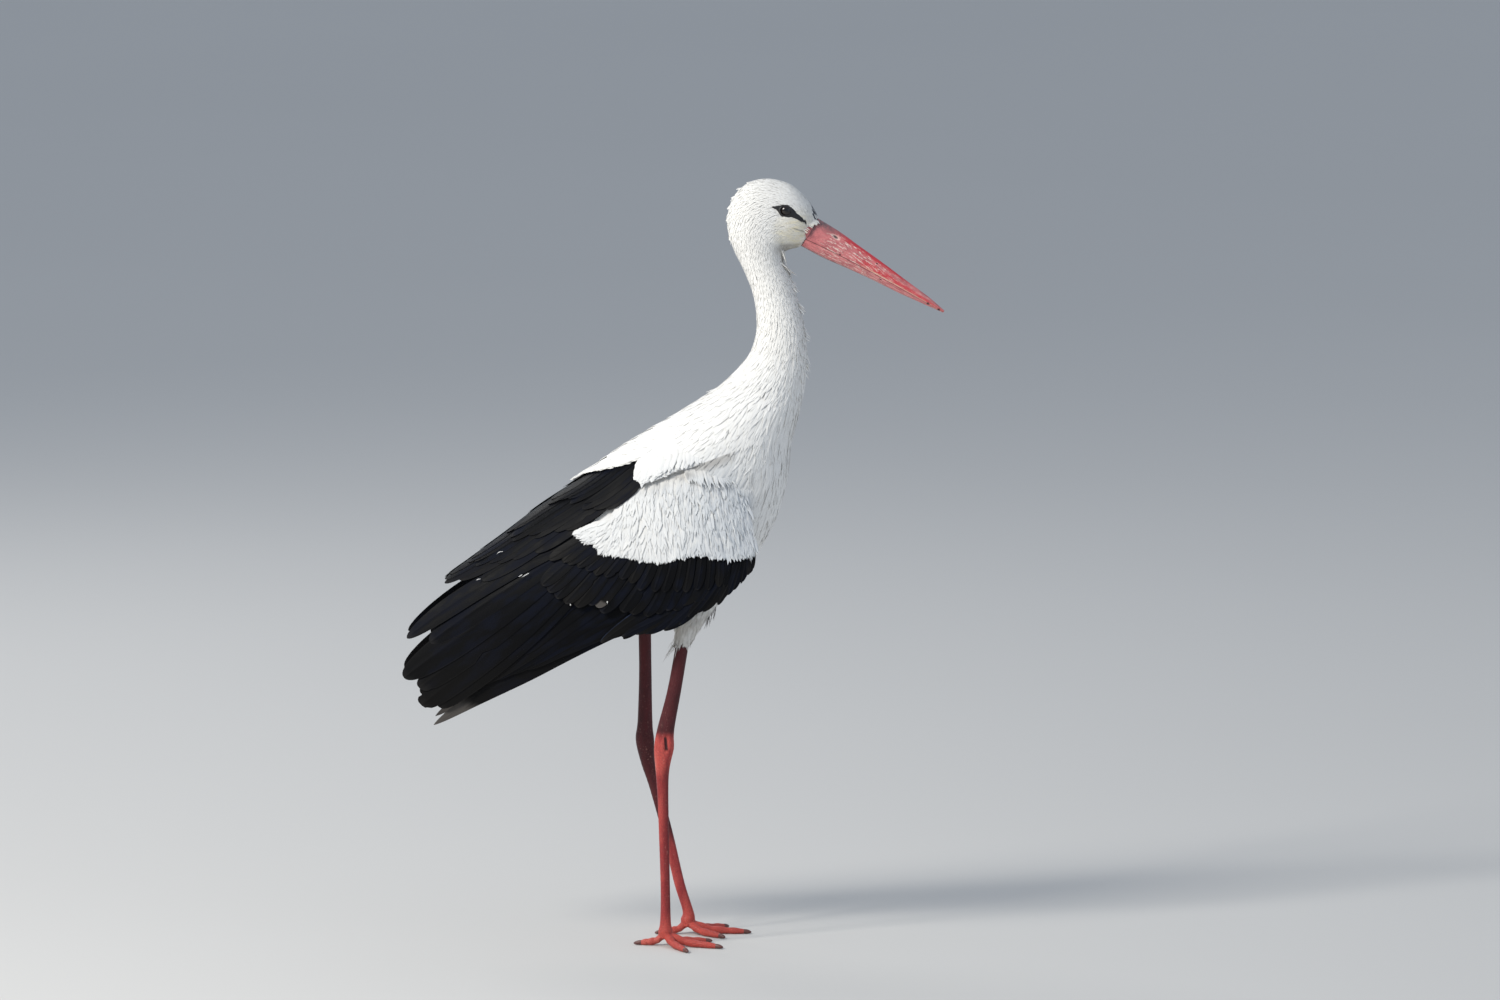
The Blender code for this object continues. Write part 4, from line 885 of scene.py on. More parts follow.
def frontLines():
    # Start and end of the slope, and its directions there. It starts at the breast's point nearest to the
    # edge, moved round towards the midline, and its end is on the wing; both are evened out by a curve
    edge = evenly(front["edge"], 25)
    rows, turns = spread((12, 20, 161), (180, 268, 177))
    grid = bodySurface(rows, turns, 0.0).reshape(1, -1, 3)
    nearest = np.linalg.norm(grid - cloak(edge[:, 0], edge[:, 1])[:, None, :], axis=-1).argmin(axis=1)
    row, turn = rows.ravel()[nearest], turns.ravel()[nearest]
    turn = np.minimum(turn + front["ahead"] / surfaceScale(bodySurface, packed(row, turn), bodySteps)[:, 1],
                      268)
    v = np.linspace(0, 1, 25)
    row, turn = (np.polyval(np.polyfit(v, a, 4), v) for a in (row, turn))
    start = bodySurface(row, turn, 0.0008)
    away = unit(bodySurface(row, turn - 2, 0.0) - bodySurface(row, turn + 2, 0.0))
    end = wingSurface(edge[:, 0] + front["behind"], edge[:, 1], 0.0012)
    back = unit(cloak(edge[:, 0] + front["behind"] + 0.004, edge[:, 1])
                - cloak(edge[:, 0] + front["behind"], edge[:, 1]))
    size = np.linalg.norm(end - start, axis=-1, keepdims=True)
    return start, away * size, end, back * size


slope = frontLines()


def slopePoint(u, v):
    # Hermite curve from the breast, u 0, to the wing, u 1, and straight on beyond both
    start, away, end, back = (curveThrough(line, v * 24) for line in slope)
    ahead, beyond = np.minimum(u, 0)[..., None], np.maximum(u - 1, 0)[..., None]
    u = np.clip(u, 0, 1)[..., None]
    return (start * (2 * u ** 3 - 3 * u ** 2 + 1) + away * (u ** 3 - 2 * u ** 2 + u + ahead)
            + end * (3 * u ** 2 - 2 * u ** 3) + back * (u ** 3 - u ** 2 + beyond))


def slopeSurface(u, v, depth):
    # Points at a depth under the slope, along its own normal
    u, v, depth = alike(u, v, depth)
    run = slopePoint(u + 0.01, v) - slopePoint(u - 0.01, v)
    fall = slopePoint(u, np.minimum(v + 0.01, 1)) - slopePoint(u, np.maximum(v - 0.01, 0))
    return slopePoint(u, v) + depth[..., None] * unit(np.cross(fall, run))


def wingUnwrap(root):
    # Places along the wing across the map, and angles up it
    return packed((root[:, 0] + 0.08) / 0.32 * 0.96 + 0.01, root[:, 1] / 100 * 0.94 + 0.01)


def wingSheet(surface, upper, lower, outer, inner, rows, columns, dive=0.0):
    # Closed plate between two lines on the wing; its outer face dives deeper towards the front edge
    share = np.linspace(0, 1, columns)[None, :, None]
    lines = [curveThrough(line, np.linspace(0, len(line) - 1, rows))[:, None, :] for line in (upper, lower)]
    grid = lines[0] * (1 - share) + lines[1] * share
    nose = np.maximum(0, 1 - 3.5 * np.linspace(0, 1, rows))[:, None] ** 2
    return plate(surface(grid[..., 0], grid[..., 1], outer + dive * nose),
                 surface(grid[..., 0], grid[..., 1], inner))


def sheetRoots(upper, lower, columns, rows, rng):
    # Even grid of roots between two lines, every other row shifted by half a step, with shares of both ways
    j, i = np.indices((columns, rows))
    s = (j + 0.5 * (i % 2) + rng.uniform(-0.3, 0.3, j.shape)) / columns
    q = (i + 0.5 + rng.uniform(-0.35, 0.35, j.shape)) / rows
    s, q = np.clip(s.ravel(), 0, 1), q.ravel()
    a = curveThrough(upper, s * (len(upper) - 1))
    b = curveThrough(lower, s * (len(lower) - 1))
    return a + (b - a) * q[:, None], s, q, b - a


def within(root, reach, corners):
    # Share of the way from root to root + reach that stays inside an outline, by trying 24 steps
    share = np.linspace(0, 1, 25)[None, :]
    place = root[:, None, :] + reach[:, None, :] * share[..., None]
    inside = insidePolygon(place[..., 0] * 1000, place[..., 1], corners * (1000, 1))
    return (np.cumprod(inside, axis=1) * share).max(axis=1)


def covertsCoat(surface, label, seed):
    # Frayed white coverts: they run from the fold to the edge, more and more backwards towards the rear, each
    # cut short where it would cross the edge of the white
    sizes = wingCoats["coverts"]
    rng = np.random.default_rng(seed)
    root, s, q, fall = sheetRoots(covertTop, wing["covertEdge"], sizes["columns"], sizes["rows"], rng)
    scale = surfaceScale(surface, root, wingSteps)
    down = unit(fall * scale)
    lean = np.clip((s - 0.45) / 0.45, 0, 1)[:, None] ** 1.2
    heading = unit(down * (1 - lean) + np.array([1.0, 0.10]) * lean)
    sway = np.radians(rng.normal(0, 9, len(root)))[:, None]
    heading = heading * np.cos(sway) + packed(-heading[:, 1], heading[:, 0]) * np.sin(sway)
    length = sizes["length"] * rng.uniform(0.8, 1.2, len(root)) * (0.75 + 0.4 * q)
    reach = heading * length[:, None] / scale
    corners = np.array([(-0.12, 30.0)] + wing["whiteEdge"] + [(-0.12, 93.0)])
    share = within(root, reach, corners) + rng.normal(0, 0.05, len(root))
    kept = share > 0.22
    root, s, q, length, share, reach = (a[kept] for a in (root, s, q, length, share, reach))
    count, share = len(root), np.minimum(share, 1.0)
    tip, length = root + reach * share[:, None], length * share
    hollow = 0.0040 * np.clip(1 - q / 0.20, 0, 1) * np.clip((0.62 - s) / 0.2, 0, 1)
    clump = 0.0008 * np.sin(2 * math.pi * 13 * s + 1.6 * np.sin(6 * q + 9 * s)) * np.clip(4 * q, 0, 1)
    level = 0.0032 + hollow
    depth = packed(level + 0.0014, level - 0.0014 + clump - rng.normal(0, 0.0004, count))
    half = sizes["half"] * rng.uniform(0.7, 1.3, count)
    group = layFeathers(surface, wingSteps, root, tip, half, depth, "lance", "fine", sizes["ridge"], ease=0.6,
                        bend=rng.normal(0, 0.07, count) * length, roll=rng.normal(0, 0.06, count) * half,
                        seed=seed)
    groups = [group, hem(surface, 2, rng, seed + 3)]
    featherPiece("coverts_" + label, groups, unwrap=wingUnwrap)


def wristCoat(surface, label, seed):
    # White feathers down the slope in front of the wing, over a closed sheet
    rng = np.random.default_rng(seed)
    j, i = np.indices((front["columns"], front["rows"]))
    u = (-0.06 + 1.14 * (j + 0.5 * (i % 2) + rng.uniform(-0.3, 0.3, j.shape)) / front["columns"]).ravel()
    v = ((i + rng.uniform(0, 1, j.shape)) / front["rows"] * 0.90).ravel()
    root = packed(u, v)
    tip, length = slopeTips(surface, root, front["length"], rng)
    limit = 0.79 + 0.17 * np.clip(1 - u / 0.8, 0, 1) - 0.12 * np.clip((tip[:, 0] - 0.9) / 0.2, 0, 1)
    tip[:, 1] = np.minimum(tip[:, 1], limit + rng.uniform(-0.02, 0.02, len(u)))
    kept = (tip[:, 1] - v > 0.05) & ((u < 0.86) | (v > 0.30))
    root, tip, length, u = root[kept], tip[kept], length[kept], u[kept]
    half = front["half"] * rng.uniform(0.7, 1.3, len(root))
    under = 0.0022 * np.clip((u - 0.65) / 0.35, 0, 1)
    depth = packed(0.0030 + under, rng.normal(0, 0.00025, len(root)) + 0.0002 + under)
    group = layFeathers(surface, slopeSteps, root, tip, half, depth, "lance", "fine", 0.0004, ease=0.6,
                        bend=rng.normal(0, 0.07, len(root)) * length,
                        roll=rng.normal(0, 0.06, len(root)) * half, seed=seed)
    u, v = spread((-0.02, 1.1, 24), (0, 0.74, 30))
    outer = 0.0036 + 0.0024 * np.clip(u, 0, 1) ** 3
    inner = outer + 0.0010 + 0.0080 * np.clip((0.74 - v) / 0.12, 0, 1)
    sheet = plate(surface(u, v, outer), surface(u, v, inner))
    featherPiece("wrist_" + label, [group], under=[sheet],
                 unwrap=lambda place: place * (0.80, 0.92) + (0.06, 0.02))


def slopeTips(surface, root, length, rng):
    # Tips below the roots and a little further back, not far behind the wing's edge
    scale = surfaceScale(surface, root, slopeSteps)
    heading = np.radians(80 - 22 * root[:, 0] + rng.normal(0, 7, len(root)))
    length = length * rng.uniform(0.8, 1.2, len(root))
    tip = tipsFrom(root, heading, length, scale)
    tip[:, 0] = np.minimum(tip[:, 0], np.maximum(root[:, 0], 1.04) + 0.10)
    return tip, length


def wristBlack(surface, rng, seed):
    # Black feathers round the wing's lower front corner, under the white ones
    j, i = np.indices((11, 7))
    u = (0.46 + 0.60 * (j + 0.5 * (i % 2) + rng.uniform(-0.15, 0.15, j.shape)) / 11).ravel()
    v = (0.66 + 0.20 * (i + rng.uniform(-0.15, 0.15, j.shape)) / 6).ravel()
    root = packed(u, v)
    tip = slopeTips(surface, root, 0.017, rng)[0]
    tip[:, 1] = np.minimum(tip[:, 1], 0.985 - 0.02 * rng.random(len(u)))
    depth = packed(0.0056, 0.0024 + rng.normal(0, 0.0001, len(u)))
    return layFeathers(surface, slopeSteps, root, tip, 0.0034, depth, "round", "broad", 0.0003, ease=0.6,
                       seed=seed)


def mantleCoat(surface, label, seed):
    # Broad smooth feathers of the shoulder, lying along the wing, with their tips over the fold and kept
    # behind the edge over the black
    sizes = wingCoats["mantle"]
    rng = np.random.default_rng(seed)
    upper = [(-0.068, 5), (-0.030, 2), (0.040, 1.5), (0.118, 1.5)]
    root, s, q, _ = sheetRoots(upper, wing["fold"], sizes["columns"], sizes["rows"], rng)
    root = root + (-0.014, 0)
    scale = surfaceScale(surface, root, wingSteps)
    heading = unit(packed(1.0, 0.10 + 0.42 * np.clip(q, 0, 1) * (1 - 0.6 * s)))
    reach = heading * (sizes["length"] * rng.uniform(0.88, 1.12, len(root)))[:, None] / scale
    share = within(root, reach, np.array([(-0.14, -9.0), (0.150, -9.0)] + wing["mantleEdge"] + wing["lobe"]
                                         + [(-0.14, 66.0)]))
    kept = share > 0.28
    root, q, count = root[kept], q[kept], kept.sum()
    tip = root + reach[kept] * share[kept, None]
    tip[:, 1] = np.maximum(tip[:, 1], 0.8)
    half = sizes["half"] * rng.uniform(0.85, 1.15, count) * (1 - 0.25 * q)
    depth = packed(0.0018, -0.0020 - rng.normal(0, 0.0002, count))
    group = layFeathers(surface, wingSteps, root, tip, half, depth, "round", "broad", sizes["ridge"],
                        ease=0.7, roll=rng.normal(0, 0.02, count) * half, seed=seed)
    groups = [group, hem(surface, 0, rng, seed + 5), hem(surface, 1, rng, seed + 6)]
    featherPiece("mantle_" + label, groups, unwrap=wingUnwrap)


def hem(surface, which, rng, seed):
    # A close row of feathers whose tips follow a line on the wing, back to front. A raised one is less even
    # and settles down at its front end
    line, count, length, half, level, turn, outline, section = wingCoats["hems"][which]
    loose = (0.0016, 0.9) if which else (0.0008, 0.3)
    tip = evenly(wing[line], count) + rng.normal(0, 1, (count, 2)) * loose
    tip[:, 1] = np.maximum(tip[:, 1], 0.8)
    heading = np.radians(np.linspace(*turn, count) + rng.normal(0, 9 if which else 4, count))
    scale = surfaceScale(surface, packed(tip[:, 0], np.maximum(tip[:, 1], 2)), wingSteps)
    length = length * rng.uniform(*((0.6, 1.35) if which == 1 else (0.8, 1.15)), count)
    root = tipsFrom(tip, heading, -length, scale)
    root[:, 1] = np.maximum(root[:, 1], 0.8)
    settle = np.clip(np.linspace(1, 0, count) / 0.30, 0, 1) if which else 1
    level = 0.0012 + (level - 0.0012) * settle
    depth = packed(np.maximum(level + 0.0034, 0.0016), level - rng.normal(0, 0.0002, count))
    return layFeathers(surface, wingSteps, root, tip, half * rng.uniform(0.65, 1.3, count), depth, outline,
                       section, 0.0004, ease=0.6, bend=rng.normal(0, 0.04, count) * length,
                       roll=rng.normal(0, 0.03, count) * half, seed=seed)


# Outline of a long feather in close rows, with its share of the half width
quillRows = np.concatenate([np.linspace(0, 0.80, 14),
                            [0.845, 0.885, 0.92, 0.945, 0.965, 0.98, 0.991, 0.998, 1.0]])


def quillOutline(blunt, base=0.45):
    # Grows from its base to full width at the middle, and rounds off to the tip as a superellipse
    rise = base + (1 - base) * np.sin(np.clip(quillRows / 0.55, 0, 1) * math.pi / 2)
    fall = np.clip((quillRows - 0.60) / 0.40, 0, 1)
    return packed(quillRows, np.maximum(rise * (1 - fall ** blunt) ** (1 / blunt), 0.03))


def notches(count, rng, chance=0.02, deep=0.22):
    # Splits between barbs: an edge is drawn in at a few rows, differently on both sides
    marks = rng.random((count, len(quillRows), 2)) < chance
    return 1 - marks * rng.uniform(0.08, deep, marks.shape)


flightTiers = [
    # title, count, root line, tip line, half widths, depths at roots and at tips, bluntness, tilt, bow, look
    ("primaries", 8, [(0.068, 86.5), (0.112, 81)],
     [(0.390, 87.5), (0.408, 89.5), (0.420, 90.5), (0.430, 85), (0.434, 79)],
     (0.0092, 0.0112), (0.0200, 0.0150), (0.0165, 0.0120), 2.0, 0.0006, 0.006, None),
    ("secondaries", 13, [(0.062, 84.5), (0.100, 78), (0.150, 66), (0.184, 52)],
     [(0.205, 86.0), (0.300, 85.6), (0.368, 84.2), (0.414, 80), (0.440, 72)],
     (0.0105, 0.0135), (0.0156, 0.0100), (0.0128, 0.0078), 2.6, 0.0007, 0.0, (0.2, 0.9)),
    ("alula", 17, [(0.010, 84.5), (0.030, 83.0), (0.060, 82.5), (0.090, 84.5)],
     [(0.036, 90.2), (0.062, 90.6), (0.090, 91.0), (0.118, 90.4), (0.150, 91.0), (0.178, 90.8),
      (0.204, 88.6)],
     (0.0054, 0.0068), (0.0056, 0.0062), (0.0018, 0.0046), 1.8, 0.0005, -0.001, None),
    ("primary_coverts", 4, [(0.072, 84.5), (0.096, 78)], [(0.152, 90.0), (0.192, 89.9), (0.236, 87.6)],
     (0.0066, 0.0072), (0.0082, 0.0074), (0.0076, 0.0070), 2.0, 0.0005, 0.002, (1.5, 1.5)),
    ("greater_coverts", 17, [(0.056, 82), (0.093, 75), (0.128, 68), (0.157, 60), (0.179, 50)],
     [(0.100, 86.2), (0.136, 85.6), (0.172, 83.5), (0.206, 75), (0.232, 68), (0.250, 54)],
     (0.0075, 0.0100), (0.0066, 0.0054), (0.0044, 0.0036), 2.4, 0.0008, 0.0, None),
    ("median_coverts", 18, [(0.038, 78), (0.083, 67), (0.128, 56), (0.158, 45)],
     [(0.066, 87.5), (0.104, 83.0), (0.140, 77), (0.170, 67), (0.196, 57), (0.212, 46)],
     (0.0062, 0.0078), (0.0052, 0.0046), (0.0034, 0.0028), 2.2, 0.0006, 0.0, None),
]
tertials = [
    # root, tip, half width, depths, bow, bluntness, look: the lowest first
    ((0.172, 58), (0.436, 84.0), 0.0150, (0.0096, 0.0074), -0.004, 3.2, 0.95),
    ((0.176, 55), (0.451, 79.0), 0.0175, (0.0088, 0.0064), -0.004, 3.4, 0.98),
    ((0.178, 52), (0.440, 70.5), 0.0170, (0.0083, 0.0060), -0.002, 3.0, 0.85),
    ((0.180, 49), (0.447, 61.0), 0.0205, (0.0076, 0.0051), 0.000, 2.4, 0.70),
    ((0.183, 47), (0.396, 51.0), 0.0165, (0.0070, 0.0058), 0.004, 2.4, 0.40),
    ((0.186, 45.0), (0.415, 40.2), 0.0140, (0.0063, 0.0040), 0.011, 2.0, 0.60),
    ((0.100, 83.5), (0.4550, 91.6), 0.0140, (0.0180, 0.0112), 0.005, 1.5, 2.5),  # longest, grey tip
]
# white flecks on the near wing: along, degrees, length, heading in degrees
flecks = [(0.2485, 46.5, 0.0095, 4), (0.3000, 33.6, 0.0050, 2), (0.2309, 68.2, 0.0025, 60),
          (0.2590, 24.9, 0.0075, 4), (0.2560, 45.3, 0.0050, 10), (0.1930, 73.5, 0.0030, 70)]
scapularTiers = [
    ("under", 5, [(0.130, 34), (0.150, 22), (0.150, 12)], [(0.300, 34), (0.332, 20), (0.338, 13), (0.330, 8)],
     (0.0125, 0.0115), (0.0060, 0.0052), (0.0040, 0.0034), 2.4, 0.0005, 0.0, None),
    ("long", 8, [(0.116, 34), (0.128, 22), (0.138, 10)],
     [(0.236, 38), (0.262, 31), (0.296, 23), (0.300, 14), (0.286, 7.0)],
     (0.0095, 0.0105), (0.0052, 0.0036), (0.0038, 0.0026), 2.2, 0.0005, 0.0, None),
    ("short", 8, [(0.086, 33), (0.094, 22), (0.118, 9)], [(0.182, 37), (0.210, 29), (0.232, 18), (0.224, 8)],
     (0.0095, 0.0105), (0.0036, 0.0024), (0.0029, 0.0017), 2.2, 0.0005, 0.0, None),
    ("front", 9, [(0.056, 35), (0.046, 26), (0.064, 18), (0.096, 8)],
     [(0.132, 38), (0.152, 29), (0.168, 18), (0.168, 8)],
     (0.0092, 0.0102), (0.0008, 0.0000), (0.0018, 0.0006), 2.0, 0.0005, 0.0, None),
]


def tierOfVanes(surface, tier, rng, seed, stagger=0.0028):
    # Feathers side by side, the lowest first and deepest, each next one lying a little further out
    _, count, rootLine, tipLine, halves, rootDepth, tipDepth, blunt, tilt, bow, look = tier
    lift = np.linspace(0, 1, count)
    root = evenly(rootLine, count)
    tip = evenly(tipLine, count) + rng.normal(0, 1, (count, 2)) * (stagger, 0.35)
    tip[:, 1] = np.maximum(tip[:, 1], 1.0)
    half = halves[0] + (halves[1] - halves[0]) * lift
    depth = packed(rootDepth[0] + (rootDepth[1] - rootDepth[0]) * lift,
                   tipDepth[0] + (tipDepth[1] - tipDepth[0]) * lift)
    return layFeathers(surface, wingSteps, root, tip, half * rng.uniform(0.94, 1.06, count), depth,
                       quillOutline(blunt), "quill", 0.00026, ease=0.7,
                       bend=rng.normal(0, 0.0010, count) - bow, roll=-tilt, notch=notches(count, rng),
                       seed=seed, chance=look and rng.uniform(*look, count))


def buildFlight(surface, fore, label, seed):
    # All black feathers of a wing's lower half, over a sheet and its front corner
    rng = np.random.default_rng(seed)
    groups = [tierOfVanes(surface, tier, rng, seed + n) for n, tier in enumerate(flightTiers)]
    groups[4]["feather"][10, :, :, 2] = 2.2  # one greater covert has a grey-brown tip
    groups.append(wristBlack(fore, rng, seed + 30))
    for n, (root, tip, half, depth, bow, blunt, look) in enumerate(tertials):
        groups.append(layFeathers(surface, wingSteps, [root], [tip], half, [depth], quillOutline(blunt),
                                  "quill", 0.00032, ease=0.8, bend=-bow, roll=-0.0005,
                                  notch=notches(1, rng, 0.07 if n < 3 else 0.02, 0.30), chance=look))
    upper = [(0.016, 84.4), (0.047, 78.4), (0.076, 71.6), (0.105, 66), (0.132, 59.6), (0.155, 51.6),
             (0.170, 44), (0.178, 39)]
    lower = [(0.022, 89.0), (0.060, 89.2), (0.100, 86), (0.135, 79), (0.165, 71), (0.188, 62), (0.203, 52),
             (0.212, 43)]
    core = wingSheet(surface, upper, lower, 0.0064, 0.0205, 40, 12, 0.002)
    u, v = spread((0.42, 1.1, 14), (0.66, 0.985, 14))
    corner = plate(fore(u, v, 0.0052), fore(u, v, 0.0130))
    featherPiece("flight_" + label, groups, (f"wing_{label}_flight",), [core, corner], sharp=60, kind="black")


def whiteFlecks(seed=77):
    # Bits of down caught on the black feathers
    rng, groups = np.random.default_rng(seed), []
    for place, degrees, length, heading in flecks:
        root = np.array([(place, degrees)])
        scale = surfaceScale(wingSurface, root, wingSteps)
        turn = np.radians([heading])
        tip = tipsFrom(root, turn, length, scale)
        groups.append(layFeathers(wingSurface, wingSteps, root, tip, 0.0005, (0.0020, -0.0012), "wisp",
                                  "fine", 0.0003, ease=0.3, bend=rng.normal(0, 0.0004, 1), chance=0.9))
    featherPiece("down_flecks", groups, unwrap=wingUnwrap)


def buildScapulars(surface, label, seed):
    # Black feathers between back and wing, over a sheet
    rng = np.random.default_rng(seed)
    groups = [tierOfVanes(surface, tier, rng, seed + n, 0.010 if n else 0.0028)
              for n, tier in enumerate(scapularTiers)]
    upper = [(0.096, 3), (0.140, 2.5), (0.200, 2.5), (0.214, 4)]
    lower = [(0.070, 34.0), (0.115, 36), (0.150, 37.5), (0.182, 38)]
    core = wingSheet(surface, upper, lower, 0.0046, 0.0270, 30, 12)
    featherPiece("scapulars_" + label, groups, (f"wing_{label}_scapulars",), [core], sharp=60, kind="black")


def buildWing(label, surface, fore, seed):
    # The skins under the white feathers, then the coats from coverts to scapulars
    coverts = wingSheet(surface, covertTop, wing["covertEdge"], 0.0080, 0.0185, 50, 24, 0.008)
    shoulder = wingSheet(surface, [(-0.060, 6), (-0.010, 5), (0.050, 4), (0.104, 3)],
                         [(-0.045, 55), (-0.025, 51.6), (0.020, 42.5), (0.070, 35)], 0.0012, 0.0390, 40, 20,
                         0.008)
    points, polygons = merged([coverts, shoulder])
    addPiece("wing_skin_" + label, points, polygons, looks["skin"],
             (f"wing_{label}_coverts", f"wing_{label}_shoulder"))
    covertsCoat(surface, label, seed)
    wristCoat(fore, label, seed + 60)
    mantleCoat(surface, label, seed + 1)
    buildFlight(surface, fore, label, seed + 2)
    buildScapulars(surface, label, seed + 40)


buildWing("right", wingSurface, slopeSurface, wingCoats["seed"])
buildWing("left", leftOf(wingSurface), leftOf(slopeSurface), wingCoats["seed"] + 100)
whiteFlecks()
print("wings")


tail = {"root": 0.300, "tip": 0.408, "pairs": 6, "half": 0.0105, "seed": 301}


def buildTail():
    # Six pairs of feathers in a closed fan, the middle pair on top
    groups = []
    rng = np.random.default_rng(tail["seed"])
    for rank in range(tail["pairs"]):
        for side in (-1, 1):
            root = (tail["root"] + 0.004, side * (0.0014 + 0.0026 * rank))
            tip = (tail["tip"] - 0.0016 * rank ** 1.5, side * (0.0052 + 0.0050 * rank))
            level = -0.0030 + 0.00105 * rank + 0.0003 * (side + 1)
            groups.append(layFeathers(tailSurface, (0.001, 0.001), [root], [tip], tail["half"],
                                      [(level, level)], quillOutline(2.6), "quill", 0.0003,
                                      notch=notches(1, rng), seed=tail["seed"] + rank * 2 + side))
    place, y = spread((0.3003, 0.326, 8), (-0.0185, 0.0185, 10))
    core = plate(tailSurface(place, y, -0.0036), tailSurface(place, y, 0.0056))
    featherPiece("tail_feathers", groups, ("tail",), [core], sharp=60)


buildTail()
print("tail")


def cheekFit():
    # The cheek's distance to the side as a polynomial of x and z near the eye, by least squares
    rows, turns = spread((0.05, 5.5, 90), (-58, 58, 100))
    p = bodySurface(rows, turns, 0.0).reshape(-1, 3)
    near = np.hypot(p[:, 0] - eyes["right"][0] - 0.003, p[:, 2] - eyes["right"][2] + 0.005) < 0.030
    p = p[near]
    return np.linalg.lstsq(powerTerms(p[:, 0], p[:, 2]), p[:, 1], rcond=None)[0]


def powerTerms(x, z):
    # All products of powers of x and z up to the fourth in all, with both in steps of 20 mm from the eye
    x, z = (x - eyes["right"][0]) / 0.02, (z - eyes["right"][2]) / 0.02
    return np.stack([x ** i * z ** j for i in range(5) for j in range(5 - i)], axis=-1)


def darkSkin():
    # Near black, with fine grain
    graph = Graph("bare_skin", 0.5)
    place = graph.place()
    grain = graph.cells(place, 900.0)
    graph.feed("Base Color", graph.mix(graph.noise(place, 300.0, 2.0), (0.005, 0.005, 0.0055),
                                       (0.015, 0.014, 0.014)))
    graph.bump(grain, 0.35, 0.0003)
    return graph.material


def eyeLook(side):
    # Dark brown iris with a black pupil, by the angle from the eye's own axis
    graph = Graph("eye_" + side + "_look", 0.05, **{"Specular IOR Level": 0.2, "Coat Weight": 0.8,
                                                    "Coat Roughness": 0.03})
    place = graph.place()
    front = eyes[side] + eyeRadius * unit(np.array([0.22, -1.0 if side == "right" else 1.0, 0.05]))
    off = graph.distance(place, tuple(front))
    rays = graph.noise(graph.scaled(place, (1500.0, 300.0, 1500.0)), 1.0, 2.0)
    iris = graph.mix(rays, (0.005, 0.003, 0.002), (0.012, 0.007, 0.004))
    graph.feed("Base Color", graph.mix(graph.ramp(off, 0.0026, 0.0031, 1.0, 0.0), iris,
                                       (0.0015, 0.0015, 0.0015)))
    return graph.material


def buildEye(side, sign, fit):
    # Bare skin: a ring of rays from the eye's opening to the outline, on the cheek, with a raised lid
    turns = np.arange(96) / 96 * 2 * math.pi
    centre = eyes[side]
    opening = centre[[0, 2]] + packed(np.cos(turns) * eyePatch["opening"][0],
                                      np.sin(turns) * eyePatch["opening"][1])
    dense = curveThrough(np.vstack([eyeOutline, eyeOutline[:1]]), np.linspace(0, len(eyeOutline), 800))
    angles = np.arctan2(dense[:, 1] - centre[2], dense[:, 0] - centre[0]) % (2 * math.pi)
    far = np.hypot(*(dense - centre[[0, 2]]).T)
    reach = np.array([far[np.abs((angles - t + math.pi) % (2 * math.pi) - math.pi) < 0.05].max()
                      for t in turns])
    outer = centre[[0, 2]] + packed(np.cos(turns), np.sin(turns)) * reach[:, None]
    share = np.linspace(0, 1, 14) ** 1.4
    flat = opening[None] * (1 - share)[:, None, None] + outer[None] * share[:, None, None]
    away = np.linalg.norm(flat - opening[None], axis=-1)
    lid = eyePatch["lidHeight"] * np.exp(-((away - 0.0007) / 0.0009) ** 2)
    reachOut = powerTerms(flat[..., 0], flat[..., 1]) @ fit
    sink = 0.0012 * share[:, None] ** 3
    top = packed(flat[..., 0], sign * (reachOut + 0.0002 + lid - sink), flat[..., 1])
    bottom = packed(flat[..., 0], sign * (reachOut - 0.0032), flat[..., 1])
    rings = np.concatenate([top, bottom[::-1]])
    index = np.arange(len(rings) * 96).reshape(len(rings), 96)
    below = np.roll(index, -1, axis=0)
    quads = packed(index, np.roll(index, -1, axis=1), np.roll(below, -1, axis=1), below).reshape(-1, 4)
    addPiece("eye_skin_" + side, rings, [quads], looks["bare"], sharp=70)
    # The eyeball: a sphere by latitude from the front and turns round it
    lat, lon = np.meshgrid(np.linspace(0.02, math.pi - 0.02, 28), np.arange(40) / 40 * 2 * math.pi,
                           indexing="ij")
    ball = packed(np.sin(lat) * np.cos(lon), np.cos(lat) * sign, np.sin(lat) * np.sin(lon))
    addPiece("eyeball_" + side, centre + ball * eyeRadius, tubeFaces(1, 28, 40), eyeLook(side),
             ("eye_" + side,), sharp=0)


looks["bare"] = darkSkin()
cheek = cheekFit()
buildEye("right", -1, cheek)
buildEye("left", 1, cheek)
print("eyes")

bill = {
    "length": 0.187, "slope": math.radians(30.9), "base": (0.1645, 0.8568), "start": 0.00015,
    # share of the length: ridge, mouth line and lower edge over the axis, and half the width
    "table": [[0.00, 0.0188, -0.0094, -0.0200, 0.0140], [0.16, 0.0184, -0.0064, -0.0186, 0.0132],
              [0.33, 0.0156, -0.0046, -0.0146, 0.0110], [0.50, 0.0129, -0.0034, -0.0112, 0.0088],
              [0.70, 0.0090, -0.0023, -0.0083, 0.0066], [0.87, 0.0058, -0.0016, -0.0046, 0.0044],
              [1.00, 0.0014, -0.0006, -0.0016, 0.0014]],
    # dark spots: share, level from keel -1 over the mouth 0 to the ridge 1, half length, half height
    "spots": [(0.885, -0.05, 0.012, 0.50), (0.965, -0.20, 0.013, 0.90), (0.541, -0.23, 0.015, 0.14),
              (0.472, 0.73, 0.011, 0.07), (0.238, 0.05, 0.010, 0.06), (0.330, 0.55, 0.006, 0.05)],
    "nostril": (0.157, 0.0112, 0.021, 0.0017),  # share, height, half length as a share, half height
}


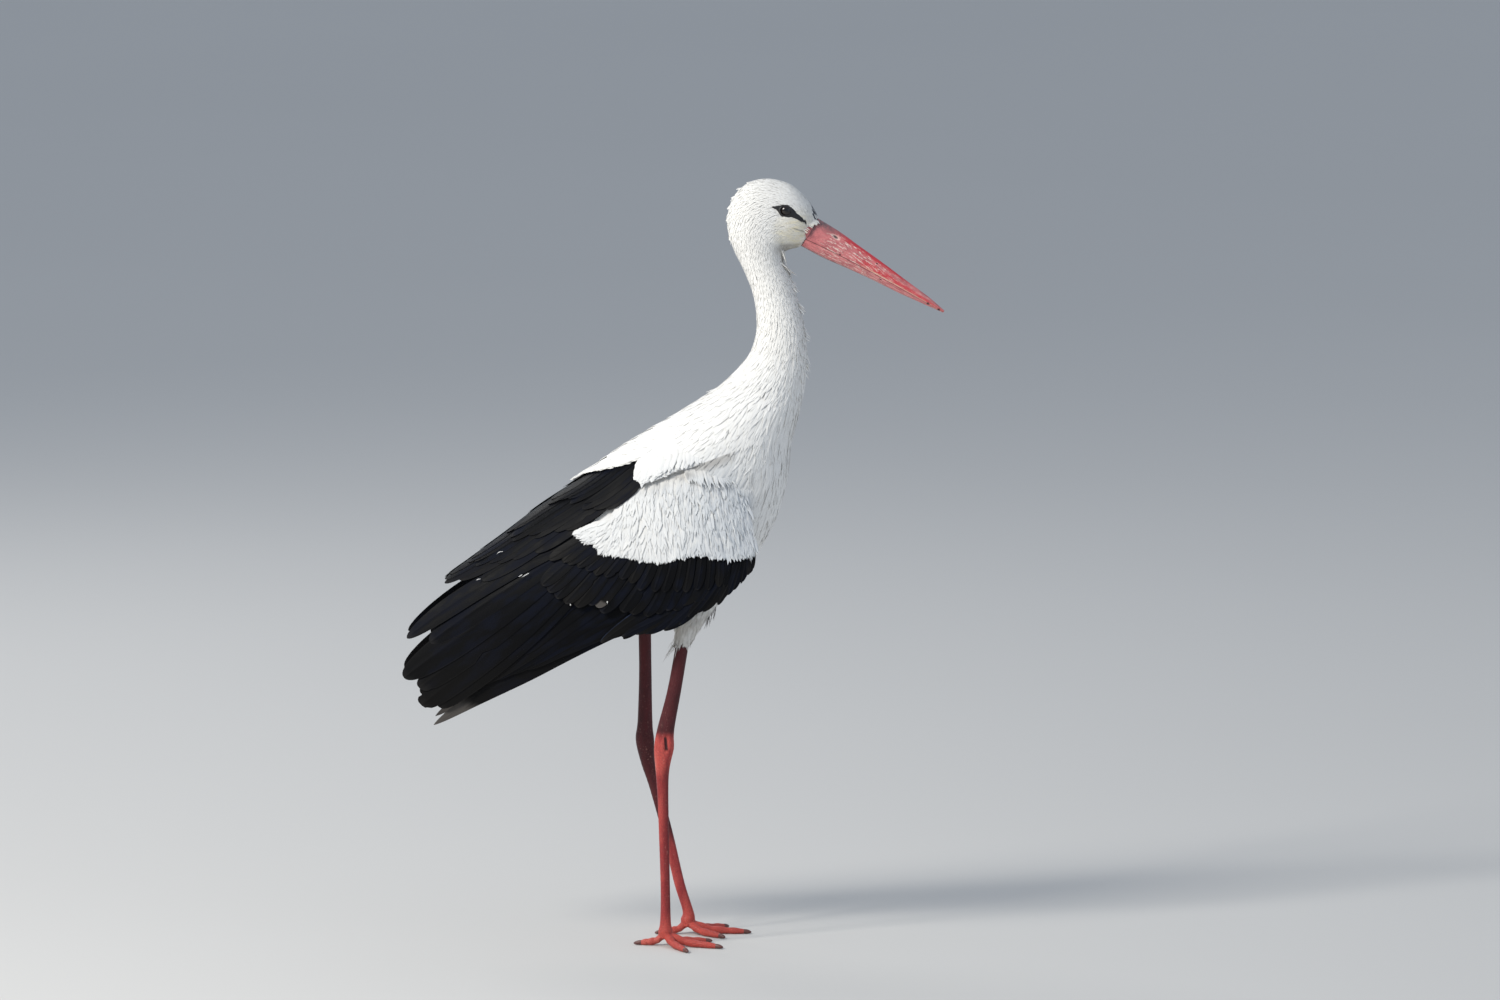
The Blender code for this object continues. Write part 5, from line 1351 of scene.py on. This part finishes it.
def billPoint(share, height, y):
    # Along the axis, which falls by the slope, and up square to it
    ahead = np.array([math.cos(bill["slope"]), -math.sin(bill["slope"])])
    up = np.array([math.sin(bill["slope"]), math.cos(bill["slope"])])
    reach = share * bill["length"] + bill["start"]
    xz = np.array(bill["base"]) + reach[..., None] * ahead + height[..., None] * up
    return packed(xz[..., 0], y, xz[..., 1])


def billLook():
    # Red horn: clear red on the ridge, pinkish and mottled on the sides with pale scratches, grey at the root
    # of the ridge, dark specks at the tip
    graph = Graph("bill_horn", 0.45, **{"Coat Weight": 0.12, "Coat Roughness": 0.3})
    mix, ramp, noise, vector = graph.mix, graph.ramp, graph.noise, graph.vector
    own = graph.attribute("own")
    share, height, turn = graph.axis(own, "X"), graph.axis(own, "Y"), graph.axis(own, "Z")
    broad = noise(vector(share * 9.0, height * 1.6, turn), 1.6, 4.0, 0.6)
    fine = noise(vector(share * 34.0, height * 5.0, turn * 3.0), 2.0, 5.0, 0.65)
    scratch = noise(vector(share * 9.0 + height * 1.4, height * 5.5, turn * 2.0), 2.0, 5.0, 0.72)
    pink, dull = (0.64, 0.195, 0.195), (0.47, 0.135, 0.14)
    ridgeRed, pale = (0.62, 0.032, 0.044), (0.86, 0.66, 0.58)
    base = mix(ramp(broad, 0.38, 0.62), pink, dull)
    red = ramp(height, 0.66, 0.90) * ramp(share, 0.10, 0.26) * ramp(share, 0.80, 0.60)
    lowRed = ramp(abs(height - 0.30), 0.34, 0.10) * ramp(share, 0.28, 0.45) * 0.8
    base = mix(red.most(lowRed), base, ridgeRed)
    worn = ramp(scratch, 0.515, 0.575) * ramp(share, 0.06, 0.16) * ramp(fine, 0.38, 0.52, 0.10, 1.0)
    worn = worn * ramp(share, 0.66, 0.48, 0.45, 1.0) * ramp(height, 0.92, 0.80)
    base = mix(worn * 0.9, base, pale)
    nostril = graph.distance(vector(share / 0.024, height / 0.075, 0.0), (0.157 / 0.024, 0.70 / 0.075, 0.0))
    base = mix(ramp(nostril + fine * 0.8, 2.1, 1.5) * 0.5, base, pale)
    base = mix(ramp(nostril + fine * 0.5, 1.15, 0.75) * 0.88, base, (0.045, 0.032, 0.036))
    line = ramp(abs(height - 0.10), 0.02, 0.08, 0.75, 0.0) * ramp(share, 0.34, 0.50)
    base = mix(line * ramp(fine, 0.35, 0.55, 0.4, 1.0), base, (0.74, 0.50, 0.36))
    seam = ramp(abs(height - 0.01), 0.0, 0.03, 0.7, 0.0)
    base = mix(seam, base, (0.10, 0.030, 0.028))
    pits = ramp(noise(vector(share * 60.0, height * 12.0, turn * 4.0), 2.0, 2.0), 0.62, 0.68)
    base = mix(pits * ramp(share, 0.75, 0.45, 0.2, 0.7), base, (0.10, 0.040, 0.040))
    grey = ramp(share, 0.24, 0.02) * ramp(height, 0.55, 0.92)
    grey = grey.most(ramp(share, 0.035, 0.0) * ramp(height, 0.0, 0.5))
    base = mix(grey * ramp(fine, 0.30, 0.60, 0.35, 0.95), base, (0.085, 0.075, 0.080))
    # painted shadow along the underside of the lower mandible near its root
    under = ramp(height, -0.80, -0.97) * ramp(share, 0.60, 0.20) * 0.8
    base = mix(under, base, (0.12, 0.045, 0.045))
    for at, level, wide, tall in bill["spots"]:
        off = graph.distance(vector(share / wide, height / tall, 0.0), (at / wide, level / tall, 0.0))
        base = mix(ramp(off + fine * 1.2, 1.45, 1.0) * 0.92, base, (0.018, 0.012, 0.011))
    graph.feed("Base Color", base)
    graph.feed("Roughness", ramp(fine + worn * 0.3, 0.3, 0.9, 0.34, 0.70))
    graph.bump(fine * 0.6 + scratch * 0.9 + broad * 0.5, 0.6, 0.0009)
    return graph.material


def buildBill():
    # Half rings from one corner of the mouth over the ridge, or under the keel, to the other; the nostril and
    # the groove in front of it are pressed in as soft long dents
    rows, around = 110, 40
    share = np.linspace(0, 1, rows)[:, None] ** 0.95
    line = rowAt(bill["table"], share)
    ridge, mouth, keel, width = (line[..., k] for k in range(1, 5))
    turn = np.linspace(0, math.pi, around)[None, :]
    for title, top, sign, power, node in (("upper", ridge, 1, 0.86, "bill_upper"),
                                          ("lower", keel, -1, 0.80, "bill_lower")):
        start = mouth + sign * 0.00012
        level, flat = np.sin(turn) ** power, np.cos(turn)
        height = start + (top - start) * level
        bulge = width * np.sign(flat) * np.abs(flat) ** 0.94
        if sign > 0:
            at, rise, long, tall = bill["nostril"]
            slit = 0.0016 * np.exp(-((share - at) / long) ** 4 - ((height - rise) / tall) ** 2)
            groove = 0.0007 * np.exp(-((level - 0.66) / 0.10) ** 2) * np.clip((0.62 - share) / 0.30, 0, 1)
            edge = 0.0004 * np.exp(-((level - 0.12) / 0.06) ** 2)
            bulge = bulge - np.sign(flat) * (slit + groove - edge)
        else:
            groove = 0.0005 * np.exp(-((level - 0.45) / 0.12) ** 2) * np.clip((0.9 - share) / 0.3, 0, 1)
            bulge = bulge - np.sign(flat) * groove
        points = billPoint(share, height, bulge)
        own = packed(share, sign * level, np.sign(flat) * 0.5)
        addPiece("horn_" + title, points, tubeFaces(1, rows, around), looks["bill"], (node,),
                 {"own": own}, sharp=60)


def billSide(share, turn, depth):
    # Upper half of the bill by share of the length and turn in degrees, with the depth along its own normal
    share, turn, depth = alike(share, turn, depth)

    def level(share, turn):
        # The surface itself: flattened ellipse of the table's row at the turn
        line = rowAt(bill["table"], share)
        angle = np.radians(turn)
        height = line[..., 2] + (line[..., 1] - line[..., 2]) * np.sin(angle) ** 0.86
        flat = np.cos(angle)
        return billPoint(share, height, line[..., 3] * np.sign(flat) * np.abs(flat) ** 0.94)
    run = level(share + 0.002, turn) - level(share - 0.002, turn)
    sweep = level(share, turn + 0.5) - level(share, turn - 0.5)
    return level(share, turn) + depth[..., None] * unit(np.cross(run, sweep))


def loreFeathers(seed=91):
    # Short feathers from the head over the root of the bill, furthest below the ridge. The reach is the share
    # of the bill's length by turn on the near side
    rng = np.random.default_rng(seed)
    reach = [(0, -0.02), (27, -0.02), (38, -0.012), (46, 0.008), (56, 0.017), (67, 0.008), (76, -0.004),
             (90, -0.008)]
    groups = []
    for near in (True, False):
        turn = np.repeat(np.linspace(2, 86, 80), 3) + rng.uniform(-1, 1, 240)
        end = along(reach, turn) + rng.normal(0, 0.008, 240) - np.tile([0.0, 0.010, 0.020], 80)
        begin = end - rng.uniform(0.020, 0.036, 240)
        kept = end > -0.012
        chance = np.where((turn > 66) & (rng.random(240) < 0.8), 1.2, rng.random(240))[kept]
        turn = turn if not near else 180 - turn
        root, tip = (packed(a, turn)[kept] for a in (begin, end))
        depth = packed(0.0004, -0.0001 - 0.0003 * rng.random(len(root)))
        groups.append(layFeathers(billSide, (0.002, 0.5), root, tip, 0.00048, depth, "lance", "fine", 0.00016,
                                  ease=0.8, bend=rng.normal(0, 0.0003, len(root)), chance=chance))
    featherPiece("plumes_lores", groups, unwrap=lambda place: (place + (0.06, 0)) * (5, 0.005) + (0.02, 0.02))


def buildGape():
    # Corner of the mouth: a lens of bill skin that runs back on the cheek on either side
    for side, centre in (("right", 180), ("left", 0)):
        s, q = spread((-1, 1, 21), (0, 1, 9))
        row = 0.46 * np.maximum(1 - s ** 2, 0.02) * q
        level = -0.0008 * (1 - s ** 2) * (1 - q) ** 0.5
        points, polygons = plate(bodySurface(row, centre + 21 * s, level + 0.0001),
                                 bodySurface(row, centre + 21 * s, 0.0022))
        own = packed(0.01 + 0.04 * (1 - q), 0.15 + 0.25 * s, 0.5).reshape(-1, 3)
        addPiece("gape_" + side, points, polygons, looks["bill"], (),
                 {"own": np.tile(own, (2, 1))})


looks["bill"] = billLook()
buildBill()
loreFeathers()
buildGape()
print("bill")


def legLook():
    # Red scaly skin with dark lines between the scales and dusty pale ones. Painted shade makes it maroon above
    # the ankle and further down on the far leg, and darkens the near tarsus's front and the ankle's slit;
    # painted sunlight makes the near ankle bright salmon and runs a pale line down the near tarsus's back edge
    graph = Graph("leg_skin", 0.5, **{"Specular IOR Level": 0.3})
    mix, ramp = graph.mix, graph.ramp
    place = graph.place()
    z, y = graph.axis(place, "Z"), graph.axis(place, "Y")
    plates = graph.cells(graph.scaled(place, (1.0, 1.0, 0.62)), 520.0, "DISTANCE_TO_EDGE")
    broad = graph.noise(graph.scaled(place, (1.0, 1.0, 0.30)), 70.0, 4.0, 0.6)
    fine = graph.noise(place, 420.0, 3.0)
    far = ramp(y, -0.01, 0.01)
    shadeMaroon, red, sunlitSalmon = (0.055, 0.006, 0.008), (0.34, 0.036, 0.036), (0.60, 0.095, 0.075)
    # painted shade: maroon above the ankle, where the wing's shadow falls
    base = mix(ramp(broad, 0.35, 0.65), shadeMaroon, (0.090, 0.012, 0.015))
    # painted shade: on the far leg the maroon reaches further down
    lower = ramp(z, 0.262 - far * 0.13, 0.250 - far * 0.15)
    base = mix(lower, base, mix(ramp(broad, 0.40, 0.65), red, (0.50, 0.075, 0.062)))
    # painted sunlight: the near ankle bright salmon
    ankle = ramp(abs(z - 0.236 + broad * 0.012), 0.014, 0.030, 1.0, 0.0) * ramp(broad, 0.40, 0.56, 0.15, 1.0)
    base = mix(ankle * (1.0 - far) * 0.85, base, sunlitSalmon)
    x = graph.axis(place, "X")
    # painted shade in the slit at the front of the near ankle
    slit = ramp(abs(x + 0.0078 + (z - 0.2455) * 0.1), 0.0022, 0.0012) * ramp(abs(z - 0.2455), 0.0100, 0.0065)
    base = mix(slit * ramp(y, -0.0495, -0.0510), base, (0.045, 0.008, 0.010))
    shade = ramp(x + z * 0.017, -0.0095, -0.0045) * ramp(z, 0.228, 0.205) * ramp(z, 0.020, 0.050)
    base = mix(shade * (1.0 - far) * 0.75, base, (0.150, 0.012, 0.016))
    light = ramp(x + z * 0.017, -0.0142, -0.0168) * ramp(z, 0.238, 0.215) * ramp(broad, 0.35, 0.55)
    base = mix(light * (1.0 - far) * 0.55, base, (0.74, 0.27, 0.22))
    base = mix(ramp(z, 0.045, 0.012, 0.0, 0.65), base, (0.56, 0.085, 0.060))
    base = mix(ramp(plates, 0.0, 0.10, 0.40, 0.0), base, (0.07, 0.012, 0.014))
    dust = ramp(fine, 0.60, 0.78) * ramp(z, 0.30, 0.24, 0.10, 0.32)
    base = mix(dust, base, (0.66, 0.34, 0.27))
    graph.feed("Base Color", base)
    graph.feed("Roughness", ramp(broad, 0.3, 0.7, 0.36, 0.60))
    graph.bump(ramp(plates, 0.0, 0.16) + fine * 0.4, 0.6, 0.0005)
    return graph.material


foot = {"knuckle": 0.0165, "toeRadius": 0.0046, "claw": 0.0085, "webReach": 0.30, "gap": 0.0003,
        "grid": 0.00085, "smooth": 2}


def toeRings(joint, heading, length, rows=46, around=20):
    # Ring radius shrinks to the tip and swells at three joint pads; the sole is cut level at the floor
    ahead = np.array([math.cos(heading), math.sin(heading), 0])
    across = np.array([-ahead[1], ahead[0], 0])
    share = np.linspace(0, 1, rows)
    knots = [0.0, 0.22, 0.42, 0.62, 0.82, 1.0]
    height = np.interp(share, knots, [foot["knuckle"] - 0.003, 0.0088, 0.0050, 0.0040, 0.0034, 0.0028])
    swell = np.interp(share, knots, [1.15, 1.1, 1.0, 0.95, 0.85, 0.68])
    pads = 1 + 0.10 * np.cos(share * 2 * math.pi * 3.5 + 0.4) * np.clip(share * 6, 0, 1) * (1 - share * 0.4)
    turn = np.arange(around) / around * 2 * math.pi
    centre = np.array([joint[0], joint[1], 0]) + ahead * (share * length)[:, None] + packed(0, 0, height)
    out = np.cos(turn)[:, None] * across + np.sin(turn)[:, None] * (0, 0, 1)
    rings = centre[:, None, :] + (foot["toeRadius"] * swell * pads)[:, None, None] * out[None]
    rings[..., 2] = np.maximum(rings[..., 2], 0)
    return rings


def web(joint, first, second, lengths):
    # Short skin between two toes: a thin plate over the angle between them, hollowed at its front edge
    s, q = spread((0.02, 1, 16), (0, 1, 14))
    heading = first + (second - first) * q
    reach = foot["webReach"] * (lengths[0] + (lengths[1] - lengths[0]) * q) * (1 - 0.55 * np.sin(q * math.pi))
    x, y = joint[0] + s * reach * np.cos(heading), joint[1] + s * reach * np.sin(heading)
    height = np.interp(s * reach / 0.06, [0, 0.22, 0.42], [0.0110, 0.0072, 0.0046])
    return plate(packed(x, y, height + 0.0010), packed(x, y, height - 0.0012))


def buildLeg(side, spec):
    # Leg: ellipses down its stations with tendon grooves on both sides, a ridged ankle, toes and webs
    stations = np.array(spec["leg"])
    run = np.concatenate([[0], np.cumsum(np.linalg.norm(np.diff(stations[:, :3], axis=0), axis=1))])
    rows, around = 190, 40
    row = np.interp(np.linspace(0, run[-1], rows), run, np.arange(len(stations)))
    line = curveThrough(stations, row)[:, None, :]
    degrees = (np.arange(around) / around * 360)[None, :]
    z = line[..., 2]
    below = np.clip((0.225 - z) / 0.02, 0, 1) * np.clip((z - 0.03) / 0.02, 0, 1)
    groove = 0
    for at in (90, 270):
        off = (degrees - at - 14 + 180) % 360 - 180
        groove = groove + np.exp(-(off / 20) ** 2)
    ankle = np.exp(-((z - 0.238) / 0.012) ** 2)
    front = np.exp(-((degrees - 18) % 360 / 20) ** 2) + np.exp(-((360 - 18 - degrees) % 360 / 20) ** 2)
    dent = np.exp(-(((degrees + 180) % 360 - 180) / 16) ** 2)
    slit = 0.20 * np.exp(-((degrees - 281) / 9) ** 2) - 0.09 * np.exp(-((degrees - 306) / 12) ** 2)
    slit = slit * np.exp(-((z - 0.2455) / 0.010) ** 4) * (side == "right")
    factor = 1 - slit - 0.16 * groove * below + ankle * (0.06 * front - 0.10 * dent - 0.10 * groove)
    factor = factor * (1 + 0.012 * np.sin(z * 900 + degrees / 40) * below)
    turn = np.radians(degrees)
    points = packed(line[..., 0] + line[..., 3] * factor * np.cos(turn),
                    line[..., 1] + line[..., 4] * factor * np.sin(turn), z)
    shells = [(points.reshape(-1, 3), tubeFaces(1, rows, around))]
    joint = spec["leg"][-1][:2]
    toes = {}
    for title, angle, length in spec["toes"]:
        heading = math.radians(angle)
        toes[title] = (heading, length)
        rings = toeRings(joint, heading, length)
        shells.append((rings.reshape(-1, 3), tubeFaces(1, *rings.shape[:2])))
    for a, b in (("inner", "middle"), ("middle", "outer")):
        shells.append(web(joint, toes[a][0], toes[b][0], (toes[a][1], toes[b][1])))
    points, polygons = merged(shells)
    piece = addPiece("leg_skin_" + side, points, polygons, looks["leg"],
                     (f"shank_{side}", f"tarsus_{side}", f"foot_{side}"), sharp=0)
    fuse(piece, foot["grid"], foot["smooth"])
    co = np.empty(len(piece.data.vertices) * 3, np.float32)
    piece.data.vertices.foreach_get("co", co)
    co = co.reshape(-1, 3)
    co[:, 2] = np.maximum(co[:, 2], 0.0)
    piece.data.vertices.foreach_set("co", co.ravel())
    for title, (heading, length) in toes.items():
        nail(side, title, toeRings(joint, heading, length)[-1], heading)


def nail(side, title, start, heading):
    # Blunt nail: the toe's last ring shrinks forward along an arch and lies flat on the floor
    ahead = np.array([math.cos(heading), math.sin(heading), 0])
    share = np.linspace(0, 1, 14)[:, None, None]
    centre = start.mean(axis=0)
    size = 0.96 * (1 - share ** 2.2) ** 0.6 * 0.9 + 0.10
    rings = centre + (start - centre)[None] * size + ahead * (foot["gap"] - 0.0008 + share
                                                              * (foot["claw"] + 0.0008))
    rings = rings - np.array([0, 0, 1]) * 0.0010 * share ** 2
    rings[..., 2] = np.maximum(rings[..., 2], 0)
    addPiece(f"nail_{side}_{title}", rings, tubeFaces(1, 14, start.shape[0]), looks["horn"],
             (f"claw_{side}_{title}",), sharp=70)


def hornLook():
    # Dark brown horn with long grain
    graph = Graph("nail_horn", 0.4)
    place = graph.place()
    grain = graph.noise(graph.scaled(place, (260.0, 260.0, 900.0)), 1.0, 3.0)
    graph.feed("Base Color", graph.mix(grain, (0.055, 0.017, 0.015), (0.19, 0.068, 0.055)))
    graph.bump(grain, 0.4, 0.0004)
    return graph.material


looks["leg"], looks["horn"] = legLook(), hornLook()
for sideName, legSpec in legs.items():
    buildLeg(sideName, legSpec)
print("legs")

thighs = {"seed": 401, "spacing": 0.0034, "length": 0.030, "half": 0.0017}


def thighCoat(side, seed):
    # Shaggy narrow feathers down the thigh, in level rings; a few near the hem hang over the bare leg, and on
    # the right some dark pointed locks stick out in front
    rng = np.random.default_rng(seed)
    stations = legs[side]["thigh"]
    last = stations[-1]
    lean = np.array(last[:3]) - np.array(stations[-2][:3])
    lean = lean / -lean[2]
    stations = stations + [(*(np.array(last[:3]) + lean * 0.022 * k), 0.0094 - 0.0003 * k,
                            0.0082 - 0.0003 * k) for k in (1, 2)]
    surface = limbSurface(stations)

    def locks(root, length, half, rise, sway, chance=None):
        # Feathers down the leg, turned by chance up to the sway and ended at the hem's row
        count = len(root)
        scale = surfaceScale(surface, root, bodySteps)
        heading = np.radians(rng.normal(0, sway, count))
        tip = tipsFrom(root, heading, length, scale)
        tip[:, 0] = np.minimum(tip[:, 0], hemRow[:count])
        return layFeathers(surface, bodySteps, root, tip, half, packed(0.0034, -rise), "lance", "fine",
                           0.0004, ease=0.75, bend=rng.normal(0, 0.07, count) * length,
                           roll=rng.normal(0, 0.10, count) * half, seed=seed, chance=chance)

    roots = []
    for i, row in enumerate(np.linspace(0.04, 2.9, 40)):
        line = curveThrough(stations, row)
        count = max(12, round(math.pi * (line[3] + line[4]) / thighs["spacing"]))
        turn = (np.arange(count) + 0.5 * (i % 2) + rng.uniform(-0.3, 0.3, count)) * 360 / count
        roots.append(packed(row + rng.uniform(-0.03, 0.03, count), turn))
    root = np.concatenate(roots)
    count = len(root)
    long = rng.random(count) < 0.05
    hemRow = (2.86 + rng.uniform(-0.15, 0.42, count) + long * rng.uniform(0.2, 1.0, count) if side == "right"
              else 2.75 + rng.uniform(0, 0.25, count) + long * rng.uniform(0, 0.25, count))
    groups = [locks(root, thighs["length"] * rng.uniform(0.7, 1.25, count),
                    thighs["half"] * rng.uniform(0.7, 1.4, count) * np.where(long, 0.5, 1.0),
                    np.clip(rng.normal(0.0001, 0.0006, count) + 0.0010 * long, -0.001, 0.003), 8)]
    if side == "right":
        dark = packed(rng.uniform(1.30, 1.70, 12), rng.uniform(-16, 10, 12))
        groups.append(locks(dark, rng.uniform(0.018, 0.028, 12), 0.0008, rng.uniform(0.004, 0.012, 12), 10,
                            2.0))
        wisps = packed(rng.uniform(2.5, 2.9, 12), rng.uniform(140, 220, 12))
        hemRow[:12] = rng.uniform(3.3, 4.3, 12)
        groups.append(locks(wisps, rng.uniform(0.022, 0.036, 12), 0.0005, rng.uniform(0.002, 0.009, 12), 8))

    def unwrap(place):
        # Turn across the map, row up it
        return packed((place[:, 1] % 360) / 360 * 0.96 + 0.01, place[:, 0] / 5 * 0.96 + 0.01)
    featherPiece("plumes_thigh_" + side, groups, unwrap=unwrap)


thighCoat("right", thighs["seed"])
thighCoat("left", thighs["seed"] + 1)
print("thighs")


def floorLook():
    # One pale colour with faint broad patches
    graph = Graph("studio_floor", 0.95, **{"Specular IOR Level": 0.1})
    place = graph.place()
    soft = graph.noise(place, 0.6, 2.0)
    pale = studio["floorColour"]
    graph.feed("Base Color", graph.mix(soft, pale, tuple(c * 0.97 for c in pale)))
    return graph.material


def buildStudio():
    # Floor, world and lamps, each turned to its aim: yaw atan2(y, x), pitch atan2(z, level reach)
    span = 150.0
    mesh = bpy.data.meshes.new("floor")
    corners = [(x * span, y * span, -0.0003) for x, y in ((-1, -1), (1, -1), (1, 1), (-1, 1))]
    mesh.from_pydata(corners, [], [(0, 1, 2, 3)])
    mesh.materials.append(floorLook())
    floor = bpy.data.objects.new("floor", mesh)
    bpy.context.scene.collection.objects.link(floor)
    world = bpy.data.worlds.new("studio")
    world.use_nodes = True
    back = world.node_tree.nodes["Background"]
    back.inputs["Color"].default_value = (*studio["world"], 1)
    back.inputs["Strength"].default_value = studio["worldStrength"]
    bpy.context.scene.world = world
    for title, place, size, energy, colour in (
            ("key", (-2.9, -2.6, 3.5), 1.6, studio["key"], (1.0, 0.965, 0.90)),
            ("catch", (-3.4, -2.2, 2.9), 0.6, studio["catch"], (1.0, 0.975, 0.93)),
            ("fill", (3.4, -2.2, 1.2), 2.6, studio["fill"], (0.70, 0.82, 1.0)),
            ("rim", (-2.0, 3.0, 3.0), 2.0, studio["rim"], (1.0, 0.98, 0.95))):
        lamp = bpy.data.lights.new(title, "AREA")
        lamp.size, lamp.energy, lamp.color = size, energy, colour
        holder = bpy.data.objects.new(title, lamp)
        holder.location = place
        aim = np.array([0.0, 0.0, 0.50]) - np.array(place)
        yaw, pitch = math.atan2(aim[1], aim[0]), math.atan2(aim[2], math.hypot(aim[0], aim[1]))
        holder.rotation_euler = (math.pi / 2 + pitch, 0, yaw - math.pi / 2)
        bpy.context.scene.collection.objects.link(holder)


def buildCamera():
    # Side view from the distance, raised by the elevation
    lens = bpy.data.cameras.new("camera")
    lens.lens, lens.sensor_width, lens.clip_start, lens.clip_end = view["lens"], view["sensor"], 0.5, 400
    camera = bpy.data.objects.new("camera", lens)
    tilt = math.radians(view["elevation"])
    camera.location = (view["target"][0], view["target"][1] - view["distance"] * math.cos(tilt),
                       view["target"][2] + view["distance"] * math.sin(tilt))
    camera.rotation_euler = (math.pi / 2 - tilt, 0, 0)
    bpy.context.scene.collection.objects.link(camera)
    bpy.context.scene.camera = camera


buildStudio()
buildCamera()
bpy.context.scene.view_settings.view_transform = "Standard"
print("studio")
